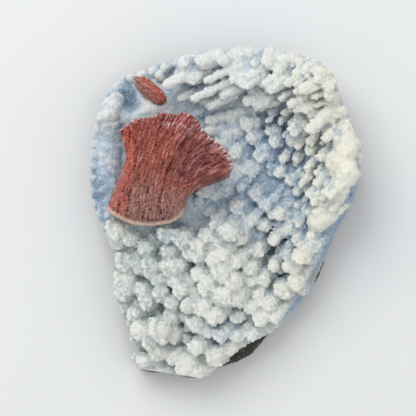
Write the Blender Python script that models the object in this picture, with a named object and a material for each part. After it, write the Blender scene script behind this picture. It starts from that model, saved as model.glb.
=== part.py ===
"""Heulandite with chalcedony, a mineral specimen lying on its sawn underside.

A basalt plate carries a chalcedony crust of mounds, hollows and finger-like stalactites. A large
bow-tie sheaf and one small crystal of red heulandite sit in the crust. Metres, +Z up, and the
specimen's longest side runs along +Y. Sizes in the lists below are millimetres, as marked.
"""

import math
import random
from typing import NamedTuple

import bmesh
import bpy
from mathutils import Vector, noise

MM = 0.001
POCKET_CLEARANCE = 1.0 * MM
BED_CLEARANCE = 0.8 * MM
BED_OVERHANG = 5.0 * MM

# Basalt matrix
MATRIX_TOP = 7.0 * MM
MATRIX_WAVES = 1.2 * MM
MATRIX_WAVELENGTH = 24.0 * MM
MATRIX_SIDES = 60
MATRIX_RINGS = 5
MATRIX_WALL_WAVES = 1.0 * MM
MATRIX_SPREAD = -0.6 * MM

# Plan outline of the crust, mm, anticlockwise from the right
CRUST_OUTLINE = (
    (49.0, 21.0), (48.0, 11.0), (45.0, 2.0), (40.0, -7.0), (35.5, -18.0), (30.0, -29.0),
    (22.5, -38.0), (14.0, -44.5), (5.0, -48.5), (-2.0, -54.5), (-10.5, -60.0), (-20.0, -59.0),
    (-33.0, -56.5), (-32.0, -50.0), (-36.0, -40.0), (-40.0, -30.0), (-40.5, -17.0), (-44.0, -8.0),
    (-49.5, 10.0), (-49.5, 22.0), (-46.5, 37.0), (-42.0, 48.0), (-30.0, 54.0), (-12.0, 58.0),
    (2.0, 60.0), (18.0, 59.5), (33.0, 54.5), (40.0, 46.0), (44.0, 36.0), (46.0, 29.0),
)

# Shelves of basalt that stand out from under the crust, as (direction in degrees, width, mm out)
SHELVES = ((-83.0, 9.0, 5.5), (38.0, 8.0, 2.0), (-30.0, 12.0, 1.2))

# The broken wall at the lower right, as directions in degrees where it starts and ends
WALL = (-62.0, 22.0)
CRUST_BASE = 11.0 * MM
EDGE_LEVEL = 8.5 * MM
EDGE_BOXINESS = 0.28
WALL_BOXINESS = 0.3
WALL_EASE = 14.0
WALL_WIDTH = 3.5 * MM
SLAB_FLOOR = 3.4 * MM
CRUST_VOXEL = 1.15 * MM
UNCUT_CRUST_TRIANGLES = 6100


class Swell(NamedTuple):
    """A mound, or a hollow where rise is negative, along a line in plan. All mm."""

    start: tuple
    end: tuple
    width: float
    rise: float


SWELLS = (
    Swell((-12, 54), (33, 50), 9, 13),
    Swell((36, 43), (43, 16), 10, 13),
    Swell((42, 8), (32, -14), 7, 8),
    Swell((1, -8), (-4, -29), 9, 9),
    Swell((-20, -12), (-29, -44), 10, 6),
    Swell((8, 4), (24, 8), 7, 3),
    Swell((-6, -42), (10, -32), 8, 3),
    Swell((-31, 2), (-14, 14), 13, 9),
    Swell((-43, 36), (-24, 40), 7, 7),
    Swell((-45, 20), (-42, -4), 6, 3),
    Swell((13, 33), (21, 34), 5, -4),
    Swell((2, 17), (14, 20), 5, -3),
    Swell((2, 10), (4, 11), 3.5, -4),
    Swell((19, -8), (18, -18), 5, -3),
    Swell((-37, 45), (-35, 40), 3, -7),
)


class Growth(NamedTuple):
    """A field of fingers leaning one way.

    heading is the way the tips point in plan, in degrees anticlockwise from +X, and rise their
    angle above the horizontal. Each finger is (tip x, tip y, length in plan, radius) in mm, and
    girth widens them all by the frost on them.
    """

    heading: float
    rise: float
    girth: float
    fingers: tuple


UPPER_RIBS = Growth(209, 14, 1.15, (
    (-1.5, 54.5, 8, 2.3), (-7, 47, 9.5, 1.3), (-11.5, 40.5, 17, 1.4), (0.5, 50.5, 9, 1.4),
    (2.5, 47.5, 8, 1.4), (5, 46.5, 7.5, 1.5), (8, 48.5, 10, 1.7), (10, 53.5, 7, 1.3),
    (7.5, 46, 8, 1.9), (-1, 42.5, 9, 1.6), (-6, 38.5, 14, 1.6), (7.5, 40.5, 8.5, 1.8),
    (-21, 46, 12, 2.0), (-16.5, 41.5, 10.5, 1.2), (-14.5, 35, 7, 1.3),
))
INNER_RIBS = Growth(199, 12, 1.15, (
    (-6, 34, 16, 1.6), (1.5, 35, 9, 1.5), (-7, 30, 9, 1.8), (0, 29, 14, 1.7), (9.5, 28, 6, 2.2),
))
SHOULDER = Growth(214, 20, 1.2, (
    (20, 41, 6, 1.4), (21, 36, 6, 1.2), (23, 38, 8, 1.4), (25, 36.5, 7, 1.5), (28.5, 36.5, 5, 1.5),
    (22, 45.5, 6, 1.5), (19, 46, 4.5, 2.2), (25, 49.5, 5, 1.5), (27.5, 43, 5, 2.2),
    (32.5, 46, 6, 1.5), (31.5, 49.5, 3.5, 1.3), (36.5, 41, 8, 2.2),
))
RIGHT_SLOPE = Growth(228, 24, 1.3, (
    (30.5, 29, 11, 2.2), (30.5, 25.5, 5, 1.6), (26.5, 34, 5, 2.2), (28.5, 30, 3.5, 1.7),
    (36, 26.5, 5.5, 1.9), (17.5, 30.5, 3.5, 2.9), (18, 26.5, 3.5, 2.5), (21, 20, 6, 1.7),
    (26, 20, 4.5, 1.7), (30.5, 22.5, 4, 2), (29.5, 16, 6.5, 1.5), (34, 19.5, 5, 1.8),
    (3, 22.5, 4.5, 2.5), (19.5, 15, 3.5, 2.4), (16.5, 15, 3, 1.5), (23.5, 12, 4, 2.2),
    (27.5, 10.5, 9.5, 1.4), (33, 10, 6, 1.9), (26, 8, 4, 1.8), (17, 5.5, 7, 1.5),
))
CENTRE = Growth(232, 36, 1.35, (
    (10.5, 6.5, 3.5, 2.3), (14, 3, 3, 2.3), (19, -0.5, 5.5, 2.2), (16.5, -0.5, 4, 1.6),
    (23, -5.5, 4, 2.3), (27, -3.5, 4, 2.2), (26, -10, 4, 2.1), (0.5, -7.5, 7, 3.3),
    (5, -10, 3.5, 1.9), (11, -13.5, 5, 2.6), (3.5, -18, 6.5, 2.4), (-1.5, -15.5, 5, 2.6),
    (8.5, -3, 6, 2), (13.5, -4.5, 3.5, 2.2), (7, -5.5, 3, 1.6), (3.5, 1.5, 4, 2.2),
    (-6, 0.5, 4.5, 1.9), (-4.5, 6.5, 4, 2), (-8.5, 8, 4, 2.6), (8.5, -20, 4, 2.6),
    (13.5, -24, 9, 2.4), (22, -15, 5, 2.3), (26.5, -16.5, 8, 2.6), (25, -25.5, 6, 2.6),
    (28.5, -28, 3.5, 2.2), (20.5, -28, 4, 3.2), (11.5, -30, 4, 2), (15, -33, 4, 2.6),
    (-6.5, -8.5, 4, 2.9), (-3, -11, 3.5, 1.9),
))
LOWER_MIDDLE = Growth(222, 42, 1.4, (
    (-10, -22.5, 3.5, 2.3), (-6.5, -25, 3.5, 2.6), (-7.5, -28, 3.5, 2.3), (-2, -22.5, 3.5, 2.9),
    (2, -25.5, 3.5, 3), (-1.5, -30.5, 3.5, 2.9), (3, -31.5, 3.5, 2.6), (-4, -18, 4, 2.6),
    (-13, -15, 4.5, 2.3), (-10, -12, 3.5, 2.6), (-9.5, -16.5, 3.5, 2.3), (-5, -38, 6, 2.3),
    (3.5, -38, 4, 1.9), (-11, -39.5, 4.5, 2.9), (-7.5, -42, 4, 2.5),
))
LOWER_LEFT = Growth(200, 32, 1.45, (
    (-21, -14.5, 3.5, 2.3), (-22, -8, 3.5, 2.5), (-16.5, -9.5, 5, 2.7), (-21, -20, 4, 2.6),
    (-18, -19.5, 3.5, 2.5), (-31, -19.5, 4, 2.3), (-27.5, -20, 3, 2.9), (-29, -13, 3.5, 2.3),
    (-37.5, -29, 6.5, 2.5), (-36.5, -24.5, 5, 3.2), (-30, -28, 3.5, 2.3), (-29, -32.5, 3, 2.3),
    (-33, -36.5, 5, 2.1), (-24, -29.5, 3, 2.3), (-19.5, -32.5, 3.5, 2.3), (-20, -37.5, 5, 2.1),
    (-24.5, -42.5, 4, 3.3), (-31, -42.5, 4, 2.6), (-27.5, -47, 3, 2.3), (-19.5, -44.5, 3.5, 2),
    (-19.5, -52, 6, 2.1), (-25.5, -50.5, 3.5, 2.3), (-42, -7, 3, 2.9), (-39.5, -9.5, 3, 2.5),
    (-34.5, -9.5, 3, 2.3), (-36.5, -18, 4, 3.2), (-4, -51.5, 4, 2.9),
))
GROWTHS = (UPPER_RIBS, INNER_RIBS, SHOULDER, RIGHT_SLOPE, CENTRE, LOWER_MIDDLE, LOWER_LEFT)

# Rounded lumps on the crust, (x, y, radius, height of the centre above the plate) in mm
LUMPS = (
    (43.0, 23.5, 5.0, 2.0), (42.0, 18, 4.8, 2.5), (43.0, 13, 4.6, 1.5), (40.5, 9.5, 3.8, 2.0),
    (38.5, 18.5, 3.3, 3.0), (38.5, 4.5, 3.0, 2.0), (34.5, 1.5, 3.6, 2.5), (33, -3.5, 4.0, 2.5),
    (38, -1, 3.0, 1.5), (29.5, 0, 2.3, 1.5), (44.5, 31, 2.6, 1.0), (42, 37, 2.8, 1.0),
    (-24, 51, 2.2, 0.5), (-17, 50.5, 2.0, 0.5), (-15, 53.5, 2.9, 1.0), (-11, 56, 2.2, 1.0),
    (-6.5, 56.5, 1.8, 1.5), (-3, 56, 3.2, 1.5), (-42.5, 27, 5.5, -2.5), (-43, 20.5, 5.5, -2.5),
    (-42.5, 36, 4.0, -1.5), (-40.5, 42, 3.5, -1.0), (-42.5, 8, 5.5, -3.0), (-40.5, 0, 5.5, -3.0),
)


class Bed(NamedTuple):
    """A spread of fingers that fills the crust, in metres.

    margin is the least distance from a finger placed one by one, shift moves the spread along X,
    and sunk lowers its fingers.
    """

    seed: int
    spacing: float
    margin: float
    run: tuple
    radius: tuple
    shift: float
    sunk: float


BEDS = (
    Bed(23, 5.6 * MM, 4.6 * MM, (5.0 * MM, 8.0 * MM), (2.4 * MM, 3.3 * MM), 0.0, 0.0),
    Bed(29, 4.8 * MM, 2.0 * MM, (4.0 * MM, 6.0 * MM), (2.1 * MM, 2.9 * MM), 2.2 * MM, 2.6 * MM),
)
FILLER_JITTER = 1.0 * MM
FILLER_ROWS_REACH = 62.0 * MM
FILLER_EDGE_GAP = 1.2 * MM
BARE_LEFT_OF = -13.0 * MM
BARE_ABOVE = -6.0 * MM
KNOB_STEP = 0.5
KNOB_JITTER = 0.07
ROOT_DEPTH = 0.4
TIP_CLEARANCE = 0.8

# Short fingers that hang over the crust's edge
RIM_STEP = 4.6 * MM
RIM_INSET = 4.5 * MM
RIM_RADIUS = (2.1 * MM, 3.0 * MM)
BARE_RIM_RADIUS = (1.4 * MM, 2.2 * MM)
RIM_HALF_LENGTH = (1.0 * MM, 2.5 * MM)
RIM_TURN = 25.0
RIM_LOW_TIER = (0.35, 0.6)
RIM_LEVEL_SPREAD = (-1.2 * MM, 0.3 * MM)
RIM_TILT = 0.5 * MM

# Heulandite sheaf, whose fibres run from the base line over the waist line to the rim line.
# The lines are (x, y) in mm, and the heights are those at the base, the waist and the rim.
SHEAF_BASE = (
    (-43.5, 1.0), (-41.0, -1.5), (-37.5, -3.5), (-34.0, -5.0), (-30.5, -5.5), (-26.5, -5.5),
    (-23.5, -5.0), (-20.5, -4.5), (-18.5, -3.5), (-16.5, -1.5), (-14.5, 1.5),
)
SHEAF_WAIST = (
    (-37.0, 14.5), (-32.0, 13.0), (-27.0, 11.0), (-22.0, 9.5), (-17.0, 8.0), (-12.0, 6.5),
)
SHEAF_RIM = (
    (-38.0, 27.5), (-35.0, 30.0), (-31.0, 32.0), (-26.5, 32.0), (-23.5, 33.5), (-20.5, 34.0),
    (-17.5, 33.5), (-15.0, 34.5), (-12.0, 33.5), (-9.5, 31.0), (-7.0, 27.0), (-3.5, 24.0),
    (0.0, 21.0), (2.0, 17.5), (3.0, 14.5), (1.5, 12.5),
)
WAIST_AT = 0.38
SHEAF_TOPS = (29.0 * MM, 34.5 * MM, 41.0 * MM)
SHEAF_UNDERS = (16.5 * MM, 14.5 * MM, 26.5 * MM)
FLANK_WIDTH = 0.13
FLANK_DROP = 7.0 * MM
RIGHT_EDGE_WIDTH = 0.08
RIGHT_EDGE_DROP = 3.0 * MM
BASE_ROUND = 0.08
BASE_ROUND_DROP = 3.0 * MM
SHEAF_BLADES = 30
BLADE_GROOVE = 1.0 * MM
BLADE_SHORTEST = 0.95
BLADE_DROP = 0.7 * MM
BLADE_END_DROP = 2.4 * MM
TOP_SHARES = (0.0, 0.1, 0.38, 0.7, 0.93)
UNDER_SHARES = (0.75, 0.38, 0.0)
POCKET_COLUMNS = 24
POCKET_HEADROOM = 6.0 * MM

# Small heulandite crystal
SMALL_START = (-33.5 * MM, 50.0 * MM)
SMALL_END = (-21.5 * MM, 39.5 * MM)
SMALL_HEIGHT = 8.0 * MM
SMALL_WIDTH = 5.6 * MM
SMALL_PLATES = 5


def remove_scene_objects():
    """Removes what the file opens with."""
    for obj in list(bpy.data.objects):
        bpy.data.objects.remove(obj, do_unlink=True)


def finish(name, colour, roughness):
    """A Principled material with a colour, as linear RGB, and a roughness."""
    material = bpy.data.materials.new(name)
    material.use_nodes = True
    shader = material.node_tree.nodes["Principled BSDF"]
    shader.inputs["Base Color"].default_value = (*colour, 1.0)
    shader.inputs["Roughness"].default_value = roughness
    material.diffuse_color = (*colour, 1.0)
    return material


def object_of(name, bm, material=None):
    """A new object in the scene that holds the bmesh, which is freed."""
    bmesh.ops.recalc_face_normals(bm, faces=bm.faces)
    mesh = bpy.data.meshes.new(name)
    bm.to_mesh(mesh)
    bm.free()
    obj = bpy.data.objects.new(name, mesh)
    bpy.context.scene.collection.objects.link(obj)
    if material:
        mesh.materials.append(material)
    return obj


def as_cutter(obj):
    """Marks a helper that only cuts or joins."""
    obj.hide_render = True
    obj.display_type = "WIRE"
    return obj


def apply_modifiers(obj):
    """Bakes the modifiers of an object into its mesh."""
    graph = bpy.context.evaluated_depsgraph_get()
    baked = bpy.data.meshes.new_from_object(obj.evaluated_get(graph))
    obj.modifiers.clear()
    obj.data = baked


def boolean(obj, other, operation):
    """Adds an exact Boolean with another object and bakes it in."""
    modifier = obj.modifiers.new(operation.lower(), "BOOLEAN")
    modifier.operation = operation
    modifier.object = other
    modifier.solver = "EXACT"
    apply_modifiers(obj)


def keep_largest_shell(obj):
    """Deletes every loose shell but the largest, so that no sealed hollow is left inside."""
    bm = bmesh.new()
    bm.from_mesh(obj.data)
    left = set(bm.verts)
    shells = []
    while left:
        shell = {left.pop()}
        edge_of_shell = list(shell)
        while edge_of_shell:
            vert = edge_of_shell.pop()
            for edge in vert.link_edges:
                other = edge.other_vert(vert)
                if other in left:
                    left.discard(other)
                    shell.add(other)
                    edge_of_shell.append(other)
        shells.append(shell)
    shells.sort(key=len)
    for shell in shells[:-1]:
        bmesh.ops.delete(bm, geom=list(shell), context="VERTS")
    bm.to_mesh(obj.data)
    bm.free()


def outline_radius(angle):
    """Distance from the middle to the crust's outline in a direction, curved through its points."""
    points = OUTLINE_POLAR
    for index in range(len(points)):
        before, start, end, after = (points[(index + step) % len(points)] for step in (-1, 0, 1, 2))
        span = (end[0] - start[0]) % math.tau
        along = (angle - start[0]) % math.tau
        if along <= span:
            return catmull_rom(before[1], start[1], end[1], after[1], along / span)
    return points[0][1]


def catmull_rom(before, start, end, after, share):
    """A value on the smooth curve through four even steps, share of the way from start to end."""
    slope_in, slope_out = (end - before) / 2, (after - start) / 2
    rise = end - start
    bend = 3 * rise - 2 * slope_in - slope_out
    twist = slope_in + slope_out - 2 * rise
    return start + share * (slope_in + share * (bend + share * twist))


def polar_outline():
    """The outline's points as (direction, distance), in order of direction."""
    points = ((math.atan2(y, x) % math.tau, math.hypot(x, y) * MM) for x, y in CRUST_OUTLINE)
    return sorted(points)


OUTLINE_POLAR = polar_outline()


def shelf(angle):
    """How far the basalt stands out from under the crust in a direction, in radians."""
    out = 0.0
    for direction, width, reach in SHELVES:
        away = (math.degrees(angle) - direction + 180) % 360 - 180
        out += reach * MM * math.exp(-((away / width) ** 2))
    return out


def wallness(angle):
    """1 in the directions of the broken wall and 0 elsewhere, eased between them."""
    degrees = (math.degrees(angle) + 180) % 360 - 180
    inside = min(degrees - WALL[0], WALL[1] - degrees)
    return max(0.0, min(1.0, inside / WALL_EASE + 0.5))


def swell_share(swell, x, y):
    """How much of a swell's rise a place in plan has, from 0 to 1."""
    start = Vector(swell.start) * MM
    line = Vector(swell.end) * MM - start
    here = Vector((x, y)) - start
    along = max(0.0, min(1.0, here.dot(line) / line.length_squared))
    away = (here - line * along).length
    return math.exp(-((away / (swell.width * MM)) ** 2))


def plate(x, y):
    """Height of the crust's slab at a place in plan, before any finger."""
    rise = sum(swell.rise * swell_share(swell, x, y) for swell in SWELLS)
    return CRUST_BASE + rise * MM


def add_slab(bm):
    """Adds the crust's slab: a ball drawn out to the outline, its top raised to the plate."""
    made = bmesh.ops.create_uvsphere(bm, u_segments=96, v_segments=40, radius=1.0)
    for vert in made["verts"]:
        flat = min(1.0, math.hypot(vert.co.x, vert.co.y))
        angle = math.atan2(vert.co.y, vert.co.x) if flat > 1e-6 else 0.0
        reach = outline_radius(angle) * flat ** (EDGE_BOXINESS + WALL_BOXINESS * wallness(angle))
        x, y = reach * math.cos(angle), reach * math.sin(angle)
        share = math.sqrt(max(0.0, 1.0 - flat * flat))
        if vert.co.z >= 0:
            z = EDGE_LEVEL + (plate(x, y) - EDGE_LEVEL) * share
        else:
            z = EDGE_LEVEL - (EDGE_LEVEL - SLAB_FLOOR) * share
        vert.co = (x, y, z)


def unit_ball():
    """Corners and faces of one ball of radius 1, which every knob of the crust repeats."""
    bm = bmesh.new()
    bmesh.ops.create_icosphere(bm, subdivisions=2, radius=1.0)
    corners = [vert.co.copy() for vert in bm.verts]
    faces = [[vert.index for vert in face.verts] for face in bm.faces]
    bm.free()
    return corners, faces


BALL_CORNERS, BALL_FACES = unit_ball()


def add_ball(bm, centre, radius):
    """Adds one ball."""
    verts = [bm.verts.new(centre + corner * radius) for corner in BALL_CORNERS]
    for face in BALL_FACES:
        bm.faces.new([verts[index] for index in face])


def add_finger(bm, root, tip, radius, rng):
    """Adds one finger: overlapping knobs from its root to its tip, a little thinner at the tip."""
    length = (tip - root).length
    knobs = max(2, round(length / (radius * KNOB_STEP)))
    for knob in range(knobs + 1):
        along = knob / knobs
        size = radius * (1.08 - 0.1 * along) * rng.uniform(1 - KNOB_JITTER, 1 + KNOB_JITTER)
        drift = Vector((rng.uniform(-1, 1), rng.uniform(-1, 1), rng.uniform(-1, 1)))
        centre = root.lerp(tip, along) + drift * radius * KNOB_JITTER
        add_ball(bm, centre, size)


def kept_inside(place, radius):
    """A place in plan, pulled in until a ball there stays inside the outline."""
    most = outline_radius(math.atan2(place.y, place.x)) - radius
    return place * min(1.0, most / place.length)


def finger_ends(growth, x, y, run, radius):
    """Root and tip of a finger, in metres, from its tip in plan and its field."""
    heading = math.radians(growth.heading)
    ahead = Vector((math.cos(heading), math.sin(heading), 0.0)) * run
    tip = kept_inside(Vector((x, y, 0.0)), radius)
    root = kept_inside(tip - ahead, radius)
    root.z = plate(root.x, root.y) - ROOT_DEPTH * radius
    rise = run * math.tan(math.radians(growth.rise))
    tip.z = max(root.z + rise, plate(tip.x, tip.y) + TIP_CLEARANCE * radius)
    return root, tip


def nearest_growth(x, y):
    """The field whose nearest finger is closest, and the distance to that finger's tip."""
    best = (math.inf, GROWTHS[0])
    for growth in GROWTHS:
        for tip_x, tip_y, _, _ in growth.fingers:
            away = math.hypot(x - tip_x * MM, y - tip_y * MM)
            if away < best[0]:
                best = (away, growth)
    return best[1], best[0]


def in_smooth_corner(x, y):
    """True in the upper left, where the crust is smooth and glassy."""
    return x < BARE_LEFT_OF and y > BARE_ABOVE


def is_bare(x, y):
    """True where the crust has no fingers: the smooth corner, the sheaf, and the outer edge."""
    if in_smooth_corner(x, y) or in_sheaf(x, y, 0.5 * MM):
        return True
    angle = math.atan2(y, x)
    return math.hypot(x, y) > outline_radius(angle) - FILLER_EDGE_GAP - WALL_WIDTH * wallness(angle)


def filler_fingers(bed):
    """The fingers of a bed: (root, tip, radius)."""
    rng = random.Random(bed.seed)
    placed = []
    row_step = bed.spacing * 0.87
    rows = round(FILLER_ROWS_REACH / row_step)
    sunk = Vector((0.0, 0.0, bed.sunk))
    for row in range(-rows, rows + 1):
        for column in range(-rows, rows + 1):
            x = (column + 0.5 * (row % 2)) * bed.spacing + rng.uniform(-1, 1) * FILLER_JITTER + bed.shift
            y = row * row_step + rng.uniform(-1, 1) * FILLER_JITTER
            run, radius = rng.uniform(*bed.run), rng.uniform(*bed.radius)
            if is_bare(x, y):
                continue
            growth, away = nearest_growth(x, y)
            if away > bed.margin:
                root, tip = finger_ends(growth, x, y, run, radius)
                placed.append((root - sunk, tip - sunk, radius))
    return placed


def rim_fingers():
    """The short fingers over the crust's edge, in two tiers: (root, tip, radius)."""
    rng = random.Random(31)
    placed = []
    angle = 0.0
    while angle < math.tau:
        reach = outline_radius(angle)
        out = Vector((math.cos(angle), math.sin(angle), 0.0))
        inner = out * (reach - RIM_INSET)
        bare = in_smooth_corner(inner.x, inner.y)
        radius = rng.uniform(*(BARE_RIM_RADIUS if bare else RIM_RADIUS))
        growth, _ = nearest_growth(inner.x, inner.y)
        top = plate(inner.x, inner.y) - (radius if bare else 0.0)
        for tier in (0.0, rng.uniform(*RIM_LOW_TIER)):
            heading = math.radians(growth.heading + rng.uniform(-RIM_TURN, RIM_TURN))
            half = Vector((math.cos(heading), math.sin(heading), 0.0)) * rng.uniform(*RIM_HALF_LENGTH)
            level = top + (EDGE_LEVEL - top) * tier + rng.uniform(*RIM_LEVEL_SPREAD)
            place = out * (reach - 1.1 * radius)
            root = kept_inside(place - half, radius) + Vector((0, 0, level - RIM_TILT))
            tip = kept_inside(place + half, radius) + Vector((0, 0, level + RIM_TILT))
            if wallness(angle) < 0.5:
                placed.append((root, tip, radius))
        angle += RIM_STEP / reach
    return placed


def add_fingers(bm):
    """Adds every finger and lump of the crust."""
    rng = random.Random(7)
    for growth in GROWTHS:
        for x, y, run, bare_radius in growth.fingers:
            radius = bare_radius * growth.girth * MM
            root, tip = finger_ends(growth, x * MM, y * MM, run * MM, radius)
            add_finger(bm, root, tip, radius, rng)
    fillers = [finger for bed in BEDS for finger in filler_fingers(bed)]
    for root, tip, radius in fillers + rim_fingers():
        add_finger(bm, root, tip, radius, rng)
    for x, y, radius, above in LUMPS:
        centre = kept_inside(Vector((x * MM, y * MM, 0.0)), radius * MM)
        centre.z = plate(centre.x, centre.y) + above * MM
        add_ball(bm, centre, radius * MM)


def add_matrix(bm, raised, spread, floor):
    """Adds the basalt plate with its flat underside.

    As a cutter for the crust's bed its top is raised, its wall spread and its floor lowered.
    """
    lift = Vector((0.0, 0.0, raised))
    bottom, columns = [], []
    for side in range(MATRIX_SIDES):
        angle = math.tau * side / MATRIX_SIDES
        out = Vector((math.cos(angle), math.sin(angle), 0.0))
        rough = MATRIX_WALL_WAVES * noise.noise(out * 3.5)
        reach = outline_radius(angle) + shelf(angle) + MATRIX_SPREAD + rough + spread
        bottom.append(bm.verts.new(out * reach + Vector((0.0, 0.0, floor))))
        places = [out * reach * (1.0 - ring / MATRIX_RINGS) for ring in range(MATRIX_RINGS)]
        columns.append([bm.verts.new(place + matrix_top(place) + lift) for place in places])
    summit = bm.verts.new(matrix_top(Vector((0.0, 0.0, 0.0))) + lift)
    bm.faces.new(reversed(bottom))
    for side, column in enumerate(columns):
        after = (side + 1) % MATRIX_SIDES
        bm.faces.new((bottom[side], bottom[after], columns[after][0], column[0]))
        for ring in range(MATRIX_RINGS - 1):
            bm.faces.new((column[ring], columns[after][ring], columns[after][ring + 1], column[ring + 1]))
        bm.faces.new((column[-1], columns[after][-1], summit))


def matrix_top(place):
    """The basalt's upper face over a place, which waves gently, as a vector upwards."""
    wave = noise.noise(Vector((place.x, place.y, 0.0)) / MATRIX_WAVELENGTH)
    return Vector((0.0, 0.0, MATRIX_TOP + MATRIX_WAVES * wave))


def along_line(points, share):
    """A place on a bent line in plan, in metres, with its corners evenly numbered from 0 to 1."""
    place = max(0.0, min(1.0, share)) * (len(points) - 1)
    index = min(int(place), len(points) - 2)
    return Vector(points[index]).lerp(Vector(points[index + 1]), place - index) * MM


def sheaf_bend(low, middle, high, share):
    """The value on the parabola through the base, the waist and the rim of a fibre."""
    return (
        low * ((share - WAIST_AT) * (share - 1) / WAIST_AT)
        + middle * (share * (1 - share) / (WAIST_AT * (1 - WAIST_AT)))
        + high * (share * (share - WAIST_AT) / (1 - WAIST_AT))
    )


def sheaf_plan(fibre, share, margin=0.0):
    """A place in plan on a fibre, moved outwards from the sheaf's borders by a margin.

    A fibre runs from 0 at the left to 1 at the right, and its share from 0 at the base to 1 at
    the rim.
    """
    lines = [along_line(line, fibre) for line in (SHEAF_BASE, SHEAF_WAIST, SHEAF_RIM)]
    place = sheaf_bend(*lines, share)
    ahead = (sheaf_bend(*lines, share + 0.02) - place).normalized()
    side = Vector((ahead.y, -ahead.x))
    return place + (side * (2 * fibre - 1) + ahead * (2 * share - 1)) * margin


def sheaf_top(fibre, share):
    """Height of the sheaf's upper face: lower on its left flank, right edge and base edge."""
    left = max(0.0, 1 - fibre / FLANK_WIDTH)
    right = max(0.0, (fibre - 1 + RIGHT_EDGE_WIDTH) / RIGHT_EDGE_WIDTH)
    height = sheaf_bend(*SHEAF_TOPS, share)
    height -= FLANK_DROP * left * left * (1 - 0.75 * share) + RIGHT_EDGE_DROP * right * right
    return height - BASE_ROUND_DROP * max(0.0, 1 - share / BASE_ROUND) ** 2


def sheaf_under(share):
    """Height of the sheaf's underside, lowest at the waist."""
    low, middle, high = SHEAF_UNDERS
    if share < WAIST_AT:
        return middle + (low - middle) * ((WAIST_AT - share) / WAIST_AT) ** 2
    return middle + (high - middle) * ((share - WAIST_AT) / (1 - WAIST_AT)) ** 2


def sheaf_border():
    """Places in plan round the sheaf."""
    border = [along_line(SHEAF_RIM, step / 30) for step in range(31)]
    border += [sheaf_plan(1.0, 1 - step / 12) for step in range(1, 12)]
    border += [along_line(SHEAF_BASE, 1 - step / 20) for step in range(21)]
    return border + [sheaf_plan(0.0, step / 12) for step in range(1, 12)]


def in_sheaf(x, y, margin):
    """True inside the sheaf's plan, grown by a margin."""
    border = sheaf_border()
    inside, near = False, math.inf
    for start, end in zip(border, border[1:] + border[:1]):
        if (start.y > y) != (end.y > y):
            if x < start.x + (end.x - start.x) * (y - start.y) / (end.y - start.y):
                inside = not inside
        near = min(near, math.hypot(start.x - x, start.y - y))
    return inside or near < margin


def add_sheaf_shell(bm, columns, margin, headroom):
    """Adds the sheaf as one closed shell, grown by a margin and with its top raised by headroom.

    Each column is (fibre, share at which it ends, drop of its top). A drop makes the groove
    between two blades.
    """
    rings = []
    for fibre, end, drop in columns:
        ring = []
        for share in TOP_SHARES:
            place = sheaf_plan(fibre, share * end, margin)
            ring.append((place, sheaf_top(fibre, share * end) - drop + margin + headroom))
        tip = sheaf_plan(fibre, end, margin)
        ring.append((tip, sheaf_top(fibre, end) - drop - BLADE_END_DROP + margin + headroom))
        ring.append((tip, sheaf_under(end) - margin))
        for share in UNDER_SHARES:
            ring.append((sheaf_plan(fibre, share, margin), sheaf_under(share) - margin))
        rings.append([bm.verts.new((place.x, place.y, height)) for place, height in ring])
    bm.faces.new(rings[0])
    bm.faces.new(rings[-1])
    for ring, after in zip(rings, rings[1:]):
        for index in range(len(ring)):
            ahead = (index + 1) % len(ring)
            bm.faces.new((ring[index], ring[ahead], after[ahead], after[index]))


def blade_columns(rng):
    """Columns of the sheaf: two for each blade's flat top and one for the groove after it."""
    columns = []
    for blade in range(SHEAF_BLADES):
        end, drop = rng.uniform(BLADE_SHORTEST, 1.0), rng.uniform(0.0, BLADE_DROP)
        columns.append(((blade + 0.02) / SHEAF_BLADES, end, drop))
        columns.append(((blade + 0.6) / SHEAF_BLADES, end, drop))
        if blade < SHEAF_BLADES - 1:
            columns.append(((blade + 0.82) / SHEAF_BLADES, end * 0.985, drop + BLADE_GROOVE))
    return columns + [(1.0, columns[-1][1], columns[-1][2])]


def add_hull(bm, corners):
    """Adds the convex solid round a few corners."""
    verts = [bm.verts.new(corner) for corner in corners]
    bmesh.ops.convex_hull(bm, input=verts)


def build_sheaf(material):
    """The large sheaf: blades side by side, grown into one solid."""
    bm = bmesh.new()
    add_sheaf_shell(bm, blade_columns(random.Random(11)), 0.0, 0.0)
    return object_of("heulandite_sheaf", bm, material)


def sheaf_pocket():
    """Cutter for the sheaf's seat in the crust, open above."""
    bm = bmesh.new()
    columns = [(column / POCKET_COLUMNS, 1.0, 0.0) for column in range(POCKET_COLUMNS + 1)]
    add_sheaf_shell(bm, columns, POCKET_CLEARANCE, POCKET_HEADROOM)
    return as_cutter(object_of("sheaf_pocket", bm))


def small_crystal_frame():
    """Middle, long direction and length of the small crystal."""
    start, end = Vector((*SMALL_START, 0.0)), Vector((*SMALL_END, 0.0))
    middle = (start + end) / 2
    middle.z = plate(middle.x, middle.y) + 1.5 * MM
    return middle, (end - start).normalized(), (end - start).length


def small_plate_corners(share, margin):
    """Corners of one upright plate of the small crystal. share runs from -1 to 1 across its width."""
    middle, along, length = small_crystal_frame()
    side = Vector((-along.y, along.x, 0.0))
    up = Vector((0.0, 0.0, 1.0))
    half = length / 2 * math.sqrt(1.0 - 0.55 * share * share) + margin
    thick = SMALL_WIDTH / SMALL_PLATES * 0.62 + margin
    tall = SMALL_HEIGHT / 2 * (1.0 - 0.35 * abs(share)) + margin
    offset = middle + side * share * SMALL_WIDTH / 2 * 0.8
    corners = []
    for way in (-1, 1):
        for across in (-1, 1):
            spot = offset + side * across * thick
            corners.append(spot + along * way * half)
            corners.append(spot + along * way * half * 0.72 + up * tall)
            corners.append(spot + along * way * half * 0.6 - up * tall)
    return corners


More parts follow.
